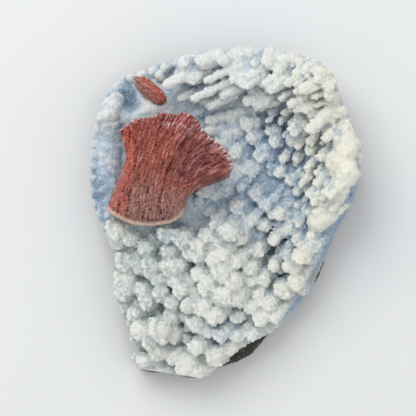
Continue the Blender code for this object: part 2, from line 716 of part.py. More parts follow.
def build_small_crystal(material):
    """The small crystal: upright plates side by side, joined into one solid."""
    shares = [2 * plate_number / (SMALL_PLATES - 1) - 1 for plate_number in range(SMALL_PLATES)]
    first = bmesh.new()
    add_hull(first, small_plate_corners(shares[0], 0.0))
    crystal = object_of("heulandite_crystal_small", first, material)
    for share in shares[1:]:
        bm = bmesh.new()
        add_hull(bm, small_plate_corners(share, 0.0))
        other = as_cutter(object_of("small_plate", bm))
        boolean(crystal, other, "UNION")
        bpy.data.objects.remove(other, do_unlink=True)
    return crystal


def small_crystal_pocket():
    """Cutter for the small crystal's seat in the crust."""
    bm = bmesh.new()
    corners = []
    for share in (-1.0, 0.0, 1.0):
        corners += small_plate_corners(share, POCKET_CLEARANCE)
    add_hull(bm, corners)
    loose = [vert for vert in bm.verts if not vert.link_faces]
    bmesh.ops.delete(bm, geom=loose, context="VERTS")
    return as_cutter(object_of("small_pocket", bm))


def build_crust(material):
    """The chalcedony: slab, fingers and lumps grown into one, clear of its neighbours."""
    bm = bmesh.new()
    add_slab(bm)
    add_fingers(bm)
    crust = object_of("chalcedony_crust", bm, material)
    remesh = crust.modifiers.new("grown together", "REMESH")
    remesh.mode = "VOXEL"
    remesh.voxel_size = CRUST_VOXEL
    apply_modifiers(crust)
    keep_largest_shell(crust)
    faces = sum(len(face.vertices) - 2 for face in crust.data.polygons)
    decimate = crust.modifiers.new("fewer faces", "DECIMATE")
    decimate.ratio = UNCUT_CRUST_TRIANGLES / faces
    apply_modifiers(crust)
    for cutter in (sheaf_pocket(), small_crystal_pocket(), matrix_bed()):
        boolean(crust, cutter, "DIFFERENCE")
        bpy.data.objects.remove(cutter, do_unlink=True)
    keep_largest_shell(crust)
    crust.data.shade_smooth()
    return crust


def matrix_bed():
    """Cutter that trims the crust clear of the basalt."""
    bm = bmesh.new()
    add_matrix(bm, BED_CLEARANCE, BED_OVERHANG, -BED_OVERHANG)
    return as_cutter(object_of("matrix_bed", bm))


def build_matrix(material):
    """The basalt plate under the crust."""
    bm = bmesh.new()
    add_matrix(bm, 0.0, 0.0, 0.0)
    return object_of("basalt_matrix", bm, material)


def main():
    """Builds the specimen."""
    remove_scene_objects()
    basalt = finish("basalt", (0.045, 0.038, 0.034), 0.9)
    chalcedony = finish("chalcedony", (0.52, 0.58, 0.62), 0.55)
    heulandite = finish("heulandite", (0.29, 0.085, 0.065), 0.5)
    build_matrix(basalt)
    build_crust(chalcedony)
    build_sheaf(heulandite)
    build_small_crystal(heulandite)


main()
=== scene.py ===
"""The looks of a heulandite with chalcedony specimen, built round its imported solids.

The chalcedony crust, the basalt plate, the large heulandite sheaf and the small heulandite
crystal are modelled finely in the places of the plain solids that they stand for. Metres, +Z up.
"""

import logging
import math
import random
from collections.abc import Iterable, Sequence
from dataclasses import dataclass, field
from enum import Enum
from typing import Any, NamedTuple

import bmesh
import bpy
import numpy as np
from mathutils import Matrix, Vector, noise
from mathutils.bvhtree import BVHTree
from mathutils.kdtree import KDTree


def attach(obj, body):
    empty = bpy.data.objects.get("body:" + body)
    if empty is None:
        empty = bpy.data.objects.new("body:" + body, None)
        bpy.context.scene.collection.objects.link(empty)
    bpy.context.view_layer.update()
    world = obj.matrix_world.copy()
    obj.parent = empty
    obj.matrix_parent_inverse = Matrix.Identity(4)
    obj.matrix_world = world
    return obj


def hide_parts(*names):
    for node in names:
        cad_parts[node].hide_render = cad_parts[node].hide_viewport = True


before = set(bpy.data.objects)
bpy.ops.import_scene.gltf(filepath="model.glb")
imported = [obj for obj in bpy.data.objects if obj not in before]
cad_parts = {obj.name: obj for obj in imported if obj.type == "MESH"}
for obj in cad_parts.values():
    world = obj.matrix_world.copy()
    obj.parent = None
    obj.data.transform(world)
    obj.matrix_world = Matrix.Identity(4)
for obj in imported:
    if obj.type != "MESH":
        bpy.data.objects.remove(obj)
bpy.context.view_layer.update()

log = logging.getLogger("specimen")

MM = 0.001
BODY = "root"
UP = Vector((0.0, 0.0, 1.0))


class Slot(Enum):
    """The record's material slots."""

    BASALT = "basalt"
    CHALCEDONY = "chalcedony"
    HEULANDITE = "heulandite"


def to_linear(code: str) -> tuple[float, float, float, float]:
    """Turns a colour into the linear values that the shaders take.

    Args:
        code: the colour as sRGB hex, such as "#a0b0c0".

    Returns:
        Linear red, green and blue, and an alpha of 1.
    """
    parts = [int(code[start:start + 2], 16) / 255 for start in (1, 3, 5)]
    linear = [part / 12.92 if part <= 0.04045 else ((part + 0.055) / 1.055) ** 2.4 for part in parts]
    return (linear[0], linear[1], linear[2], 1.0)


def add_node(
    tree: bpy.types.NodeTree, kind: str, inputs: dict | None = None, **settings: Any
) -> bpy.types.Node:
    """Adds a node with its settings and links.

    Args:
        tree: the node tree.
        kind: the node's type name.
        inputs: values or sockets by input name or number.
        settings: the node's own properties.

    Returns:
        The new node.
    """
    node = tree.nodes.new(kind)
    for name, value in settings.items():
        setattr(node, name, value)
    for name, value in (inputs or {}).items():
        if isinstance(value, bpy.types.NodeSocket):
            tree.links.new(value, node.inputs[name])
        else:
            node.inputs[name].default_value = value
    return node


def new_material(name: str) -> tuple[bpy.types.Material, bpy.types.NodeTree, bpy.types.Node]:
    """Makes an empty material.

    Args:
        name: what the material is.

    Returns:
        The material, its node tree and its Principled shader.
    """
    material = bpy.data.materials.new(name)
    material.use_nodes = True
    tree = material.node_tree
    return material, tree, tree.nodes["Principled BSDF"]


def towards(angle: float) -> Vector:
    """Gives the level direction at an angle from +X, in radians."""
    return Vector((math.cos(angle), math.sin(angle), 0.0))


def jolt(rng: random.Random, upright: float = 1.0) -> Vector:
    """Draws a random offset of up to 1 along X and Y, and up to upright along Z."""
    return Vector((rng.uniform(-1, 1), rng.uniform(-1, 1), rng.uniform(-upright, upright)))


def read_rows(items: Any, name: str, width: int, kind: type = np.float32) -> np.ndarray:
    """Reads a few numbers of each item of a mesh.

    Args:
        items: the mesh's vertices, edges or normals.
        name: what is read.
        width: how many numbers an item has.
        kind: the numbers' type.

    Returns:
        One row for each item.
    """
    numbers = np.empty(len(items) * width, kind)
    items.foreach_get(name, numbers)
    return numbers.reshape(-1, width)


def store(mesh: bpy.types.Mesh, name: str, values: np.ndarray) -> None:
    """Stores one value for each vertex on a mesh.

    Args:
        mesh: the mesh.
        name: the attribute's name.
        values: one number for each vertex.
    """
    attribute = mesh.attributes.new(name, "FLOAT", "POINT")
    attribute.data.foreach_set("value", np.ascontiguousarray(values, np.float32))


def vertex_places(mesh: bpy.types.Mesh) -> np.ndarray:
    """Reads a mesh's vertices.

    Args:
        mesh: the mesh.

    Returns:
        One row of x, y and z for each vertex.
    """
    return read_rows(mesh.vertices, "co", 3).astype(np.float64)


def eased(values: np.ndarray, low: float, high: float) -> np.ndarray:
    """Smoothly maps values to between 0 and 1.

    Args:
        values: the values.
        low: the value that gives 0.
        high: the value that gives 1.

    Returns:
        The eased values.
    """
    share = np.clip((values - low) / (high - low), 0.0, 1.0)
    return share * share * (3 - 2 * share)


def new_object(name: str, bm: bmesh.types.BMesh) -> bpy.types.Object:
    """Turns a bmesh into an object at the origin, and frees it.

    Args:
        name: the piece's name.
        bm: the shape.

    Returns:
        The object.
    """
    mesh = bpy.data.meshes.new(name)
    bm.to_mesh(mesh)
    bm.free()
    piece = bpy.data.objects.new(name, mesh)
    bpy.context.scene.collection.objects.link(piece)
    return piece


def bake_modifiers(piece: bpy.types.Object) -> None:
    """Applies a piece's modifiers to its mesh.

    Args:
        piece: the object.
    """
    graph = bpy.context.evaluated_depsgraph_get()
    baked = bpy.data.meshes.new_from_object(piece.evaluated_get(graph))
    piece.modifiers.clear()
    old = piece.data
    piece.data = baked
    bpy.data.meshes.remove(old)


def grow_together(piece: bpy.types.Object, voxel: float) -> None:
    """Joins a piece's overlapping shapes into one skin.

    Args:
        piece: the object.
        voxel: size of the skin's faces, in metres.
    """
    modifier = piece.modifiers.new("grown together", "REMESH")
    modifier.mode = "VOXEL"
    modifier.voxel_size = voxel
    bake_modifiers(piece)
    drop_inner_shells(piece)


def drop_inner_shells(piece: bpy.types.Object) -> None:
    """Deletes every loose shell but the largest, such as a sealed hollow's wall.

    Args:
        piece: the object.
    """
    mesh = piece.data
    edges = read_rows(mesh.edges, "vertices", 2, np.int32)
    label = np.arange(len(mesh.vertices))
    while True:
        low = np.minimum(label[edges[:, 0]], label[edges[:, 1]])
        lower = label.copy()
        np.minimum.at(lower, edges[:, 0], low)
        np.minimum.at(lower, edges[:, 1], low)
        lower = lower[lower]
        if (lower == label).all():
            break
        label = lower
    names, counts = np.unique(label, return_counts=True)
    if len(names) == 1:
        return
    bm = bmesh.new()
    bm.from_mesh(mesh)
    bm.verts.ensure_lookup_table()
    loose = np.flatnonzero(label != names[counts.argmax()])
    bmesh.ops.delete(bm, geom=[bm.verts[index] for index in loose], context="VERTS")
    bm.to_mesh(mesh)
    bm.free()


class Bumps(Enum):
    """The patterns that roughen a surface."""

    CLOUDS = "CLOUDS"
    KNOBS = "VORONOI"


class Zone(Enum):
    """The vertex groups that say how much of a roughness each place of a piece gets."""

    EVERYWHERE = ""
    FROSTED = "frosted"
    ROLLING = "rolling"


def roughen(
    piece: bpy.types.Object,
    size: float,
    strength: float,
    bumps: Bumps = Bumps.CLOUDS,
    zone: Zone = Zone.EVERYWHERE,
) -> None:
    """Adds a live roughness of a real size to a piece's surface.

    Args:
        piece: the object.
        size: width of the bumps, in metres.
        strength: height of the bumps, in metres, negative where the pattern is turned over.
        bumps: their pattern.
        zone: where they are.
    """
    texture = bpy.data.textures.new(f"{piece.name} {bumps.name.lower()}", bumps.value)
    texture.noise_scale = size
    modifier = piece.modifiers.new("roughness", "DISPLACE")
    modifier.texture = texture
    modifier.texture_coords = "LOCAL"
    modifier.strength = strength
    modifier.mid_level = 0.5
    modifier.vertex_group = zone.value


def soften(piece: bpy.types.Object, factor: float, repeats: int) -> None:
    """Adds a live smoothing to a piece's surface.

    Args:
        piece: the object.
        factor: strength of each pass.
        repeats: number of passes.
    """
    modifier = piece.modifiers.new("softened", "SMOOTH")
    modifier.factor = factor
    modifier.iterations = repeats


def count_triangles(piece: bpy.types.Object) -> int:
    """Counts the triangles of a piece's faces."""
    return sum(len(face.vertices) - 2 for face in piece.data.polygons)


def thin_out(piece: bpy.types.Object, triangles: int) -> None:
    """Brings a piece's faces down to a number of triangles, where it has more.

    Args:
        piece: the object.
        triangles: the most triangles that stay.
    """
    now = count_triangles(piece)
    if now > triangles:
        modifier = piece.modifiers.new("fewer faces", "DECIMATE")
        modifier.ratio = triangles / now
        bake_modifiers(piece)
        drop_inner_shells(piece)


def dress(piece: bpy.types.Object, material: bpy.types.Material, slot: Slot, *nodes: str) -> None:
    """Gives a piece its material and body, and lets it stand for its solid.

    Args:
        piece: the object.
        material: its finish.
        slot: the record's slot; not used.
        nodes: the CAD nodes that it stands for.
    """
    piece.data.materials.clear()
    piece.data.materials.append(material)
    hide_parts(*nodes)
    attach(piece, BODY)
    log.info("%s: %d triangles", piece.name, count_triangles(piece))


class Heap:
    """Overlapping shapes that later grow into one skin."""

    def __init__(self) -> None:
        """Starts an empty heap."""
        self.whole = bmesh.new()

    def add(self, part: bmesh.types.BMesh) -> None:
        """Adds a shape, and frees it.

        Args:
            part: the shape.
        """
        mesh = bpy.data.meshes.new("part of a heap")
        part.to_mesh(mesh)
        part.free()
        self.whole.from_mesh(mesh)
        bpy.data.meshes.remove(mesh)

    def add_balls(
        self, balls: Iterable[tuple[Vector, float]], subdivisions: int = 2, squash: float = 1.0
    ) -> None:
        """Adds some balls.

        Args:
            balls: centre and radius of each, in metres.
            subdivisions: fineness of each ball.
            squash: their height as a share of their width.
        """
        part = bmesh.new()
        for centre, radius in balls:
            place = Matrix.Translation(centre) @ Matrix.Diagonal((1.0, 1.0, squash, 1.0))
            bmesh.ops.create_icosphere(part, subdivisions=subdivisions, radius=radius, matrix=place)
        self.add(part)

    def add_hull(self, corners: Iterable[Vector]) -> None:
        """Adds the flat-faced solid round a few corners.

        Args:
            corners: the corners, in metres.
        """
        part = bmesh.new()
        made = [part.verts.new(corner) for corner in corners]
        bmesh.ops.convex_hull(part, input=made)
        loose = [vert for vert in part.verts if not vert.link_faces]
        bmesh.ops.delete(part, geom=loose, context="VERTS")
        self.add(part)


class Swell(NamedTuple):
    """A mound, or a hollow where rise is negative, along a line in plan. All mm."""

    start: tuple[float, float]
    end: tuple[float, float]
    width: float
    rise: float


class Growth(NamedTuple):
    """A field of fingers leaning one way.

    heading is the way the tips point in plan, in degrees anticlockwise from +X, and rise their
    angle above the horizontal. Each finger is (tip x, tip y, length in plan, radius) in mm, and
    girth widens them all by the frost on them. slimness is the width of the fingers that fill the
    gaps, and of the field's own, as a share of what stands in the solids.
    """

    heading: float
    rise: float
    girth: float
    slimness: float
    fingers: tuple[tuple[float, float, float, float], ...]


# Plan outline of the crust, mm, anticlockwise from the right
CRUST_OUTLINE = (
    (49.0, 21.0), (48.0, 11.0), (45.0, 2.0), (40.0, -7.0), (35.5, -18.0), (30.0, -29.0),
    (22.5, -38.0), (14.0, -44.5), (5.0, -48.5), (-2.0, -54.5), (-10.5, -60.0), (-20.0, -59.0),
    (-33.0, -56.5), (-32.0, -50.0), (-36.0, -40.0), (-40.0, -30.0), (-40.5, -17.0), (-44.0, -8.0),
    (-49.5, 10.0), (-49.5, 22.0), (-46.5, 37.0), (-42.0, 48.0), (-30.0, 54.0), (-12.0, 58.0),
    (2.0, 60.0), (18.0, 59.5), (33.0, 54.5), (40.0, 46.0), (44.0, 36.0), (46.0, 29.0),
)

# Shelves of basalt that stand out from under the crust, as (direction in degrees, width, mm out)
SHELVES = ((-83.0, 9.0, 5.5), (38.0, 8.0, 2.0), (-30.0, 12.0, 1.2))

# The broken wall at the lower right, as directions in degrees where it starts and ends
WALL = (-62.0, 22.0)

SWELLS = (
    Swell((-12, 54), (33, 50), 9, 13),
    Swell((36, 43), (43, 16), 10, 13),
    Swell((42, 8), (32, -14), 7, 8),
    Swell((1, -8), (-4, -29), 9, 9),
    Swell((-20, -12), (-29, -44), 10, 6),
    Swell((8, 4), (24, 8), 7, 3),
    Swell((-6, -42), (10, -32), 8, 3),
    Swell((-31, 2), (-14, 14), 13, 9),
    Swell((-43, 36), (-24, 40), 7, 7),
    Swell((-45, 20), (-42, -4), 6, 3),
    Swell((13, 33), (21, 34), 5, -4),
    Swell((2, 17), (14, 20), 5, -3),
    Swell((2, 10), (4, 11), 3.5, -4),
    Swell((19, -8), (18, -18), 5, -3),
    Swell((-37, 45), (-35, 40), 3, -7),
)

UPPER_RIBS = Growth(209, 14, 1.15, 0.97, (
    (-1.5, 54.5, 8, 2.3), (-7, 47, 9.5, 1.3), (-11.5, 40.5, 17, 1.4), (0.5, 50.5, 9, 1.4),
    (2.5, 47.5, 8, 1.4), (5, 46.5, 7.5, 1.5), (8, 48.5, 10, 1.7), (10, 53.5, 7, 1.3),
    (7.5, 46, 8, 1.9), (-1, 42.5, 9, 1.6), (-6, 38.5, 14, 1.6), (7.5, 40.5, 8.5, 1.8),
    (-21, 46, 12, 2.0), (-16.5, 41.5, 10.5, 1.2), (-14.5, 35, 7, 1.3),
))
INNER_RIBS = Growth(199, 12, 1.15, 0.97, (
    (-6, 34, 16, 1.6), (1.5, 35, 9, 1.5), (-7, 30, 9, 1.8), (0, 29, 14, 1.7), (9.5, 28, 6, 2.2),
))
SHOULDER = Growth(214, 20, 1.2, 0.78, (
    (20, 41, 6, 1.4), (21, 36, 6, 1.2), (23, 38, 8, 1.4), (25, 36.5, 7, 1.5), (28.5, 36.5, 5, 1.5),
    (22, 45.5, 6, 1.5), (19, 46, 4.5, 2.2), (25, 49.5, 5, 1.5), (27.5, 43, 5, 2.2),
    (32.5, 46, 6, 1.5), (31.5, 49.5, 3.5, 1.3), (36.5, 41, 8, 2.2),
))
RIGHT_SLOPE = Growth(228, 24, 1.3, 0.72, (
    (30.5, 29, 11, 2.2), (30.5, 25.5, 5, 1.6), (26.5, 34, 5, 2.2), (28.5, 30, 3.5, 1.7),
    (36, 26.5, 5.5, 1.9), (17.5, 30.5, 3.5, 2.9), (18, 26.5, 3.5, 2.5), (21, 20, 6, 1.7),
    (26, 20, 4.5, 1.7), (30.5, 22.5, 4, 2), (29.5, 16, 6.5, 1.5), (34, 19.5, 5, 1.8),
    (3, 22.5, 4.5, 2.5), (19.5, 15, 3.5, 2.4), (16.5, 15, 3, 1.5), (23.5, 12, 4, 2.2),
    (27.5, 10.5, 9.5, 1.4), (33, 10, 6, 1.9), (26, 8, 4, 1.8), (17, 5.5, 7, 1.5),
))
CENTRE = Growth(232, 36, 1.35, 0.86, (
    (10.5, 6.5, 3.5, 2.3), (14, 3, 3, 2.3), (19, -0.5, 5.5, 2.2), (16.5, -0.5, 4, 1.6),
    (23, -5.5, 4, 2.3), (27, -3.5, 4, 2.2), (26, -10, 4, 2.1), (0.5, -7.5, 7, 3.3),
    (5, -10, 3.5, 1.9), (11, -13.5, 5, 2.6), (3.5, -18, 6.5, 2.4), (-1.5, -15.5, 5, 2.6),
    (8.5, -3, 6, 2), (13.5, -4.5, 3.5, 2.2), (7, -5.5, 3, 1.6), (3.5, 1.5, 4, 2.2),
    (-6, 0.5, 4.5, 1.9), (-4.5, 6.5, 4, 2), (-8.5, 8, 4, 2.6), (8.5, -20, 4, 2.6),
    (13.5, -24, 9, 2.4), (22, -15, 5, 2.3), (26.5, -16.5, 8, 2.6), (25, -25.5, 6, 2.6),
    (28.5, -28, 3.5, 2.2), (20.5, -28, 4, 3.2), (11.5, -30, 4, 2), (15, -33, 4, 2.6),
    (-6.5, -8.5, 4, 2.9), (-3, -11, 3.5, 1.9),
))
LOWER_MIDDLE = Growth(222, 42, 1.4, 1.0, (
    (-10, -22.5, 3.5, 2.3), (-6.5, -25, 3.5, 2.6), (-7.5, -28, 3.5, 2.3), (-2, -22.5, 3.5, 2.9),
    (2, -25.5, 3.5, 3), (-1.5, -30.5, 3.5, 2.9), (3, -31.5, 3.5, 2.6), (-4, -18, 4, 2.6),
    (-13, -15, 4.5, 2.3), (-10, -12, 3.5, 2.6), (-9.5, -16.5, 3.5, 2.3), (-5, -38, 6, 2.3),
    (3.5, -38, 4, 1.9), (-11, -39.5, 4.5, 2.9), (-7.5, -42, 4, 2.5),
))
LOWER_LEFT = Growth(200, 32, 1.45, 1.0, (
    (-21, -14.5, 3.5, 2.3), (-22, -8, 3.5, 2.5), (-16.5, -9.5, 5, 2.7), (-21, -20, 4, 2.6),
    (-18, -19.5, 3.5, 2.5), (-31, -19.5, 4, 2.3), (-27.5, -20, 3, 2.9), (-29, -13, 3.5, 2.3),
    (-37.5, -29, 6.5, 2.5), (-36.5, -24.5, 5, 3.2), (-30, -28, 3.5, 2.3), (-29, -32.5, 3, 2.3),
    (-33, -36.5, 5, 2.1), (-24, -29.5, 3, 2.3), (-19.5, -32.5, 3.5, 2.3), (-20, -37.5, 5, 2.1),
    (-24.5, -42.5, 4, 3.3), (-31, -42.5, 4, 2.6), (-27.5, -47, 3, 2.3), (-19.5, -44.5, 3.5, 2),
    (-19.5, -52, 6, 2.1), (-25.5, -50.5, 3.5, 2.3), (-42, -7, 3, 2.9), (-39.5, -9.5, 3, 2.5),
    (-34.5, -9.5, 3, 2.3), (-36.5, -18, 4, 3.2), (-4, -51.5, 4, 2.9),
))
GROWTHS = (UPPER_RIBS, INNER_RIBS, SHOULDER, RIGHT_SLOPE, CENTRE, LOWER_MIDDLE, LOWER_LEFT)

# Rounded lumps on the crust, (x, y, radius, height of the centre above the plate) in mm
LUMPS = (
    (43.0, 23.5, 5.0, 2.0), (42.0, 18, 4.8, 2.5), (43.0, 13, 4.6, 1.5), (40.5, 9.5, 3.8, 2.0),
    (38.5, 18.5, 3.3, 3.0), (38.5, 4.5, 3.0, 2.0), (34.5, 1.5, 3.6, 2.5), (33, -3.5, 4.0, 2.5),
    (38, -1, 3.0, 1.5), (29.5, 0, 2.3, 1.5), (44.5, 31, 2.6, 1.0), (42, 37, 2.8, 1.0),
    (-24, 51, 2.2, 0.5), (-17, 50.5, 2.0, 0.5), (-15, 53.5, 2.9, 1.0), (-11, 56, 2.2, 1.0),
    (-6.5, 56.5, 1.8, 1.5), (-3, 56, 3.2, 1.5), (-42.5, 27, 5.5, -2.5), (-43, 20.5, 5.5, -2.5),
    (-42.5, 36, 4.0, -1.5), (-40.5, 42, 3.5, -1.0), (-42.5, 8, 5.5, -3.0), (-40.5, 0, 5.5, -3.0),
)


class Tint(NamedTuple):
    """A place where the chalcedony is more frosted, or darker and bluer where frost is negative: painted
    shade over the slab's hollows and holes, and glassier chalcedony elsewhere.

    x, y and width are mm. frost is added to the tone, and blue to the share of the blue colours.
    """

    x: float
    y: float
    width: float
    frost: float
    blue: float


# Negative frost over the slab's hollows and holes is painted shade
TINTS = (
    Tint(14, 20, 12, -0.13, 0.25), Tint(20, 34, 8, -0.13, 0.2), Tint(19, -12, 7, -0.13, 0.2),
    Tint(14, 4, 8, -0.08, 0.1), Tint(2, 10.5, 4, -0.22, 0.3), Tint(-8, 7, 6, -0.14, 0.1),
    Tint(-19, -9, 5, -0.12, 0.1), Tint(-35, -14, 6, -0.1, 0.0), Tint(-36, 43, 6, -0.2, 0.4),
    Tint(-43, 27, 5, -0.14, 0.3), Tint(-44, 10, 8, -0.12, 0.1), Tint(-2, -44, 8, -0.2, 0.8),
    Tint(0.5, -8, 4, 0.16, 0.0), Tint(3, 22.5, 4, 0.16, 0.0), Tint(11.5, -30, 4, 0.12, 0.0),
    Tint(-3, -27, 8, 0.12, 0.0), Tint(-27, 37, 7, 0.2, 0.0), Tint(-41, 41, 4, 0.25, -0.2),
    Tint(-43, 20, 4, 0.2, -0.3), Tint(43, 20, 9, 0.1, -0.3), Tint(-46, 6, 9, -0.35, 0.0),
    Tint(0, 50, 14, 0.3, 0.0), Tint(22, 47, 13, 0.28, -0.1), Tint(34, 38, 9, 0.15, -0.2),
    Tint(-28, -24, 15, -0.33, 0.0), Tint(24, -30, 10, 0.08, -0.2),
)

# Lumps that run into one another, by their numbers above: the right mass and the left wall
LUMP_CHAINS = ((10, 0, 1, 2, 3, 5, 6, 7), (1, 4, 2), (5, 8, 7), (23, 22, 19, 18, 20, 21))


@dataclass
class Ground:
    """The lie of the specimen: its outline in plan and the height of the crust's slab.

    Lengths are metres, apart from the outline, the shelves and the swells, which are mm.
    """

    outline: tuple[tuple[float, float], ...] = CRUST_OUTLINE
    swells: tuple[Swell, ...] = SWELLS
    shelves: tuple[tuple[float, float, float], ...] = SHELVES
    wall: tuple[float, float] = WALL
    wall_fade: float = 14.0  # degrees over which the wall's ends fade out
    base: float = 11.0 * MM
    lowest: float = 8.6 * MM

    def __post_init__(self) -> None:
        """Works out the outline's points as directions and distances."""
        points = ((math.atan2(y, x) % math.tau, math.hypot(x, y) * MM) for x, y in self.outline)
        self.polar = sorted(points)

    def reach(self, angle: float) -> float:
        """Finds the outline's distance from the middle, curved through its points.

        Args:
            angle: direction in plan, in radians.

        Returns:
            The distance in metres.
        """
        points = self.polar
        for index in range(len(points)):
            before, start, end, after = (points[(index + step) % len(points)] for step in (-1, 0, 1, 2))
            span = (end[0] - start[0]) % math.tau
            along = (angle - start[0]) % math.tau
            if along <= span:
                return catmull_rom(before[1], start[1], end[1], after[1], along / span)
        return points[0][1]

    def shelf(self, angle: float) -> float:
        """Finds how far the basalt stands out from under the crust.

        Args:
            angle: direction in plan, in radians.

        Returns:
            The distance in metres.
        """
        out = 0.0
        for direction, width, reach in self.shelves:
            away = (math.degrees(angle) - direction + 180) % 360 - 180
            out += reach * MM * math.exp(-((away / width) ** 2))
        return out

    def wallness(self, angle: float) -> float:
        """Tells how much of the broken wall is in a direction.

        Args:
            angle: direction in plan, in radians.

        Returns:
            1 at the wall and 0 elsewhere, and between them where the wall fades out.
        """
        degrees = (math.degrees(angle) + 180) % 360 - 180
        inside = min(degrees - self.wall[0], self.wall[1] - degrees)
        return max(0.0, min(1.0, inside / self.wall_fade + 0.5))

    def heights(self, places: np.ndarray) -> np.ndarray:
        """Finds the slab's height at places in plan, before any finger.

        Args:
            places: rows of x and y.

        Returns:
            The height at each place.
        """
        rise = np.zeros(len(places))
        for swell in self.swells:
            start, end = np.array(swell.start) * MM, np.array(swell.end) * MM
            line = end - start
            along = np.clip((places - start) @ line / (line @ line), 0.0, 1.0)
            away = np.linalg.norm(places - start - along[:, None] * line, axis=1)
            rise += swell.rise * MM * np.exp(-((away / (swell.width * MM)) ** 2))
        return np.maximum(self.base + rise, self.lowest)

    def height(self, x: float, y: float) -> float:
        """Finds the slab's height at one place in plan."""
        return float(self.heights(np.array([[x, y]]))[0])


def catmull_rom(before: float, start: float, end: float, after: float, share: float) -> float:
    """Reads the smooth curve through four even steps.

    Args:
        before: the value before start.
        start: the value where share is 0.
        end: the value where share is 1.
        after: the value after end.
        share: how far from start to end.

    Returns:
        The curve's value.
    """
    slope_in, slope_out = (end - before) / 2, (after - start) / 2
    rise = end - start
    bend = 3 * rise - 2 * slope_in - slope_out
    twist = slope_in + slope_out - 2 * rise
    return start + share * (slope_in + share * (bend + share * twist))


def along_line(points: Sequence[tuple[float, float]], share: float) -> Vector:
    """Finds a place on a bent line in plan, with its corners evenly numbered.

    Args:
        points: the line's corners, in mm.
        share: from 0 at the first corner to 1 at the last.

    Returns:
        The place, in metres.
    """
    place = max(0.0, min(1.0, share)) * (len(points) - 1)
    index = min(int(place), len(points) - 2)
    start, end = Vector(points[index]), Vector(points[index + 1])
    return start.lerp(end, place - index) * MM


class Pattern(Enum):
    """How a pattern is drawn: the node, its output and its settings."""

    CLOUDS = ("ShaderNodeTexNoise", "Fac", {})
    LOBES = ("ShaderNodeTexVoronoi", "Distance", {"feature": "SMOOTH_F1"})
    CRYSTALS = ("ShaderNodeTexVoronoi", "Distance", {"feature": "F1"})


class Speckle(NamedTuple):
    """A pattern of a real size: the distance between like spots, in metres, and its finer levels."""

    name: str
    size: float
    detail: float = 0.0
    pattern: Pattern = Pattern.CLOUDS


class Coat(NamedTuple):
    """A colour that lies over the coats before it.

    Its share goes from 0 to most as the value that it goes by crosses the span, and without a
    span it is the value itself. Where within is given, as a value and its span, it also stays
    inside that. The value blend turns the colour into the second one.
    """

    by: str
    colour: str
    span: tuple[float, float] | None = None
    most: float = 1.0
    within: tuple[str, tuple[float, float]] | None = None
    second: str = ""
    blend: str = ""


class Relief(NamedTuple):
    """Fine relief that follows a value, with its strength and its height in metres."""

    by: str
    strength: float
    height: float
    inverted: bool = False


@dataclass(frozen=True)
class Finish:
    """A natural surface: coats of colour and fine relief that go by values.

    The values are stored on the mesh or drawn as speckles. The first coat covers everything, and
    settings are the shader's own constants.
    """

    name: str
    stored: tuple[str, ...]
    speckles: tuple[Speckle, ...]
    coats: tuple[Coat, ...]
    reliefs: tuple[Relief, ...]
    settings: tuple[tuple[str, Any], ...]

    def values(self, tree: bpy.types.NodeTree) -> dict[str, Any]:
        """Adds the values that coats and relief go by.

        Args:
            tree: the node tree.

        Returns:
            The socket of each value, by name.
        """
        place = add_node(tree, "ShaderNodeTexCoord").outputs["Object"]
        values = {}
        for name in self.stored:
            values[name] = add_node(tree, "ShaderNodeAttribute", attribute_name=name).outputs["Fac"]
        for speckle in self.speckles:
            kind, output, settings = speckle.pattern.value
            inputs = {"Vector": place, "Scale": 1 / speckle.size, "Detail": speckle.detail}
            values[speckle.name] = add_node(tree, kind, inputs, **settings).outputs[output]
        return values

    def shade(self, tree: bpy.types.NodeTree, values: dict[str, Any], coat: Coat) -> Any:
        """Finds a coat's colour.

        Args:
            tree: the node tree.
            values: the sockets by name.
            coat: the coat.

        Returns:
            A linear colour, or the socket of two blended ones.
        """
        colour = to_linear(coat.colour)
        if not coat.blend:
            return colour
        inputs = {0: values[coat.blend], 6: colour, 7: to_linear(coat.second)}
        return add_node(tree, "ShaderNodeMix", inputs, data_type="RGBA").outputs[2]

    def share(self, tree: bpy.types.NodeTree, values: dict[str, Any], coat: Coat) -> Any:
        """Finds how much of a coat shows.

        Args:
            tree: the node tree.
            values: the sockets by name.
            coat: the coat.

        Returns:
            The share's socket.
        """
        if coat.span is None:
            return values[coat.by]
        ranges = [(coat.by, coat.span, coat.most)]
        if coat.within:
            ranges.append((*coat.within, 1.0))
        shares = []
        for by, (low, high), most in ranges:
            inputs = {0: values[by], 1: low, 2: high, 4: most}
            eased_range = add_node(tree, "ShaderNodeMapRange", inputs, interpolation_type="SMOOTHSTEP")
            shares.append(eased_range.outputs[0])
        if len(shares) == 1:
            return shares[0]
        return add_node(tree, "ShaderNodeMath", dict(enumerate(shares)), operation="MULTIPLY").outputs[0]

    def material(self) -> bpy.types.Material:
        """Makes the material.

        Returns:
            The material.
        """
        material, tree, shader = new_material(self.name)
        values = self.values(tree)
        colour = self.shade(tree, values, self.coats[0])
        for coat in self.coats[1:]:
            inputs = {0: self.share(tree, values, coat), 6: colour, 7: self.shade(tree, values, coat)}
            colour = add_node(tree, "ShaderNodeMix", inputs, data_type="RGBA").outputs[2]
        tree.links.new(colour, shader.inputs["Base Color"])
        normal = {}
        for relief in self.reliefs:
            inputs = {
                "Height": values[relief.by], "Strength": relief.strength, "Distance": relief.height
            }
            bump = add_node(tree, "ShaderNodeBump", inputs | normal, invert=relief.inverted)
            normal = {"Normal": bump.outputs[0]}
        tree.links.new(normal["Normal"], shader.inputs["Normal"])
        for name, value in self.settings:
            shader.inputs[name].default_value = value
        return material


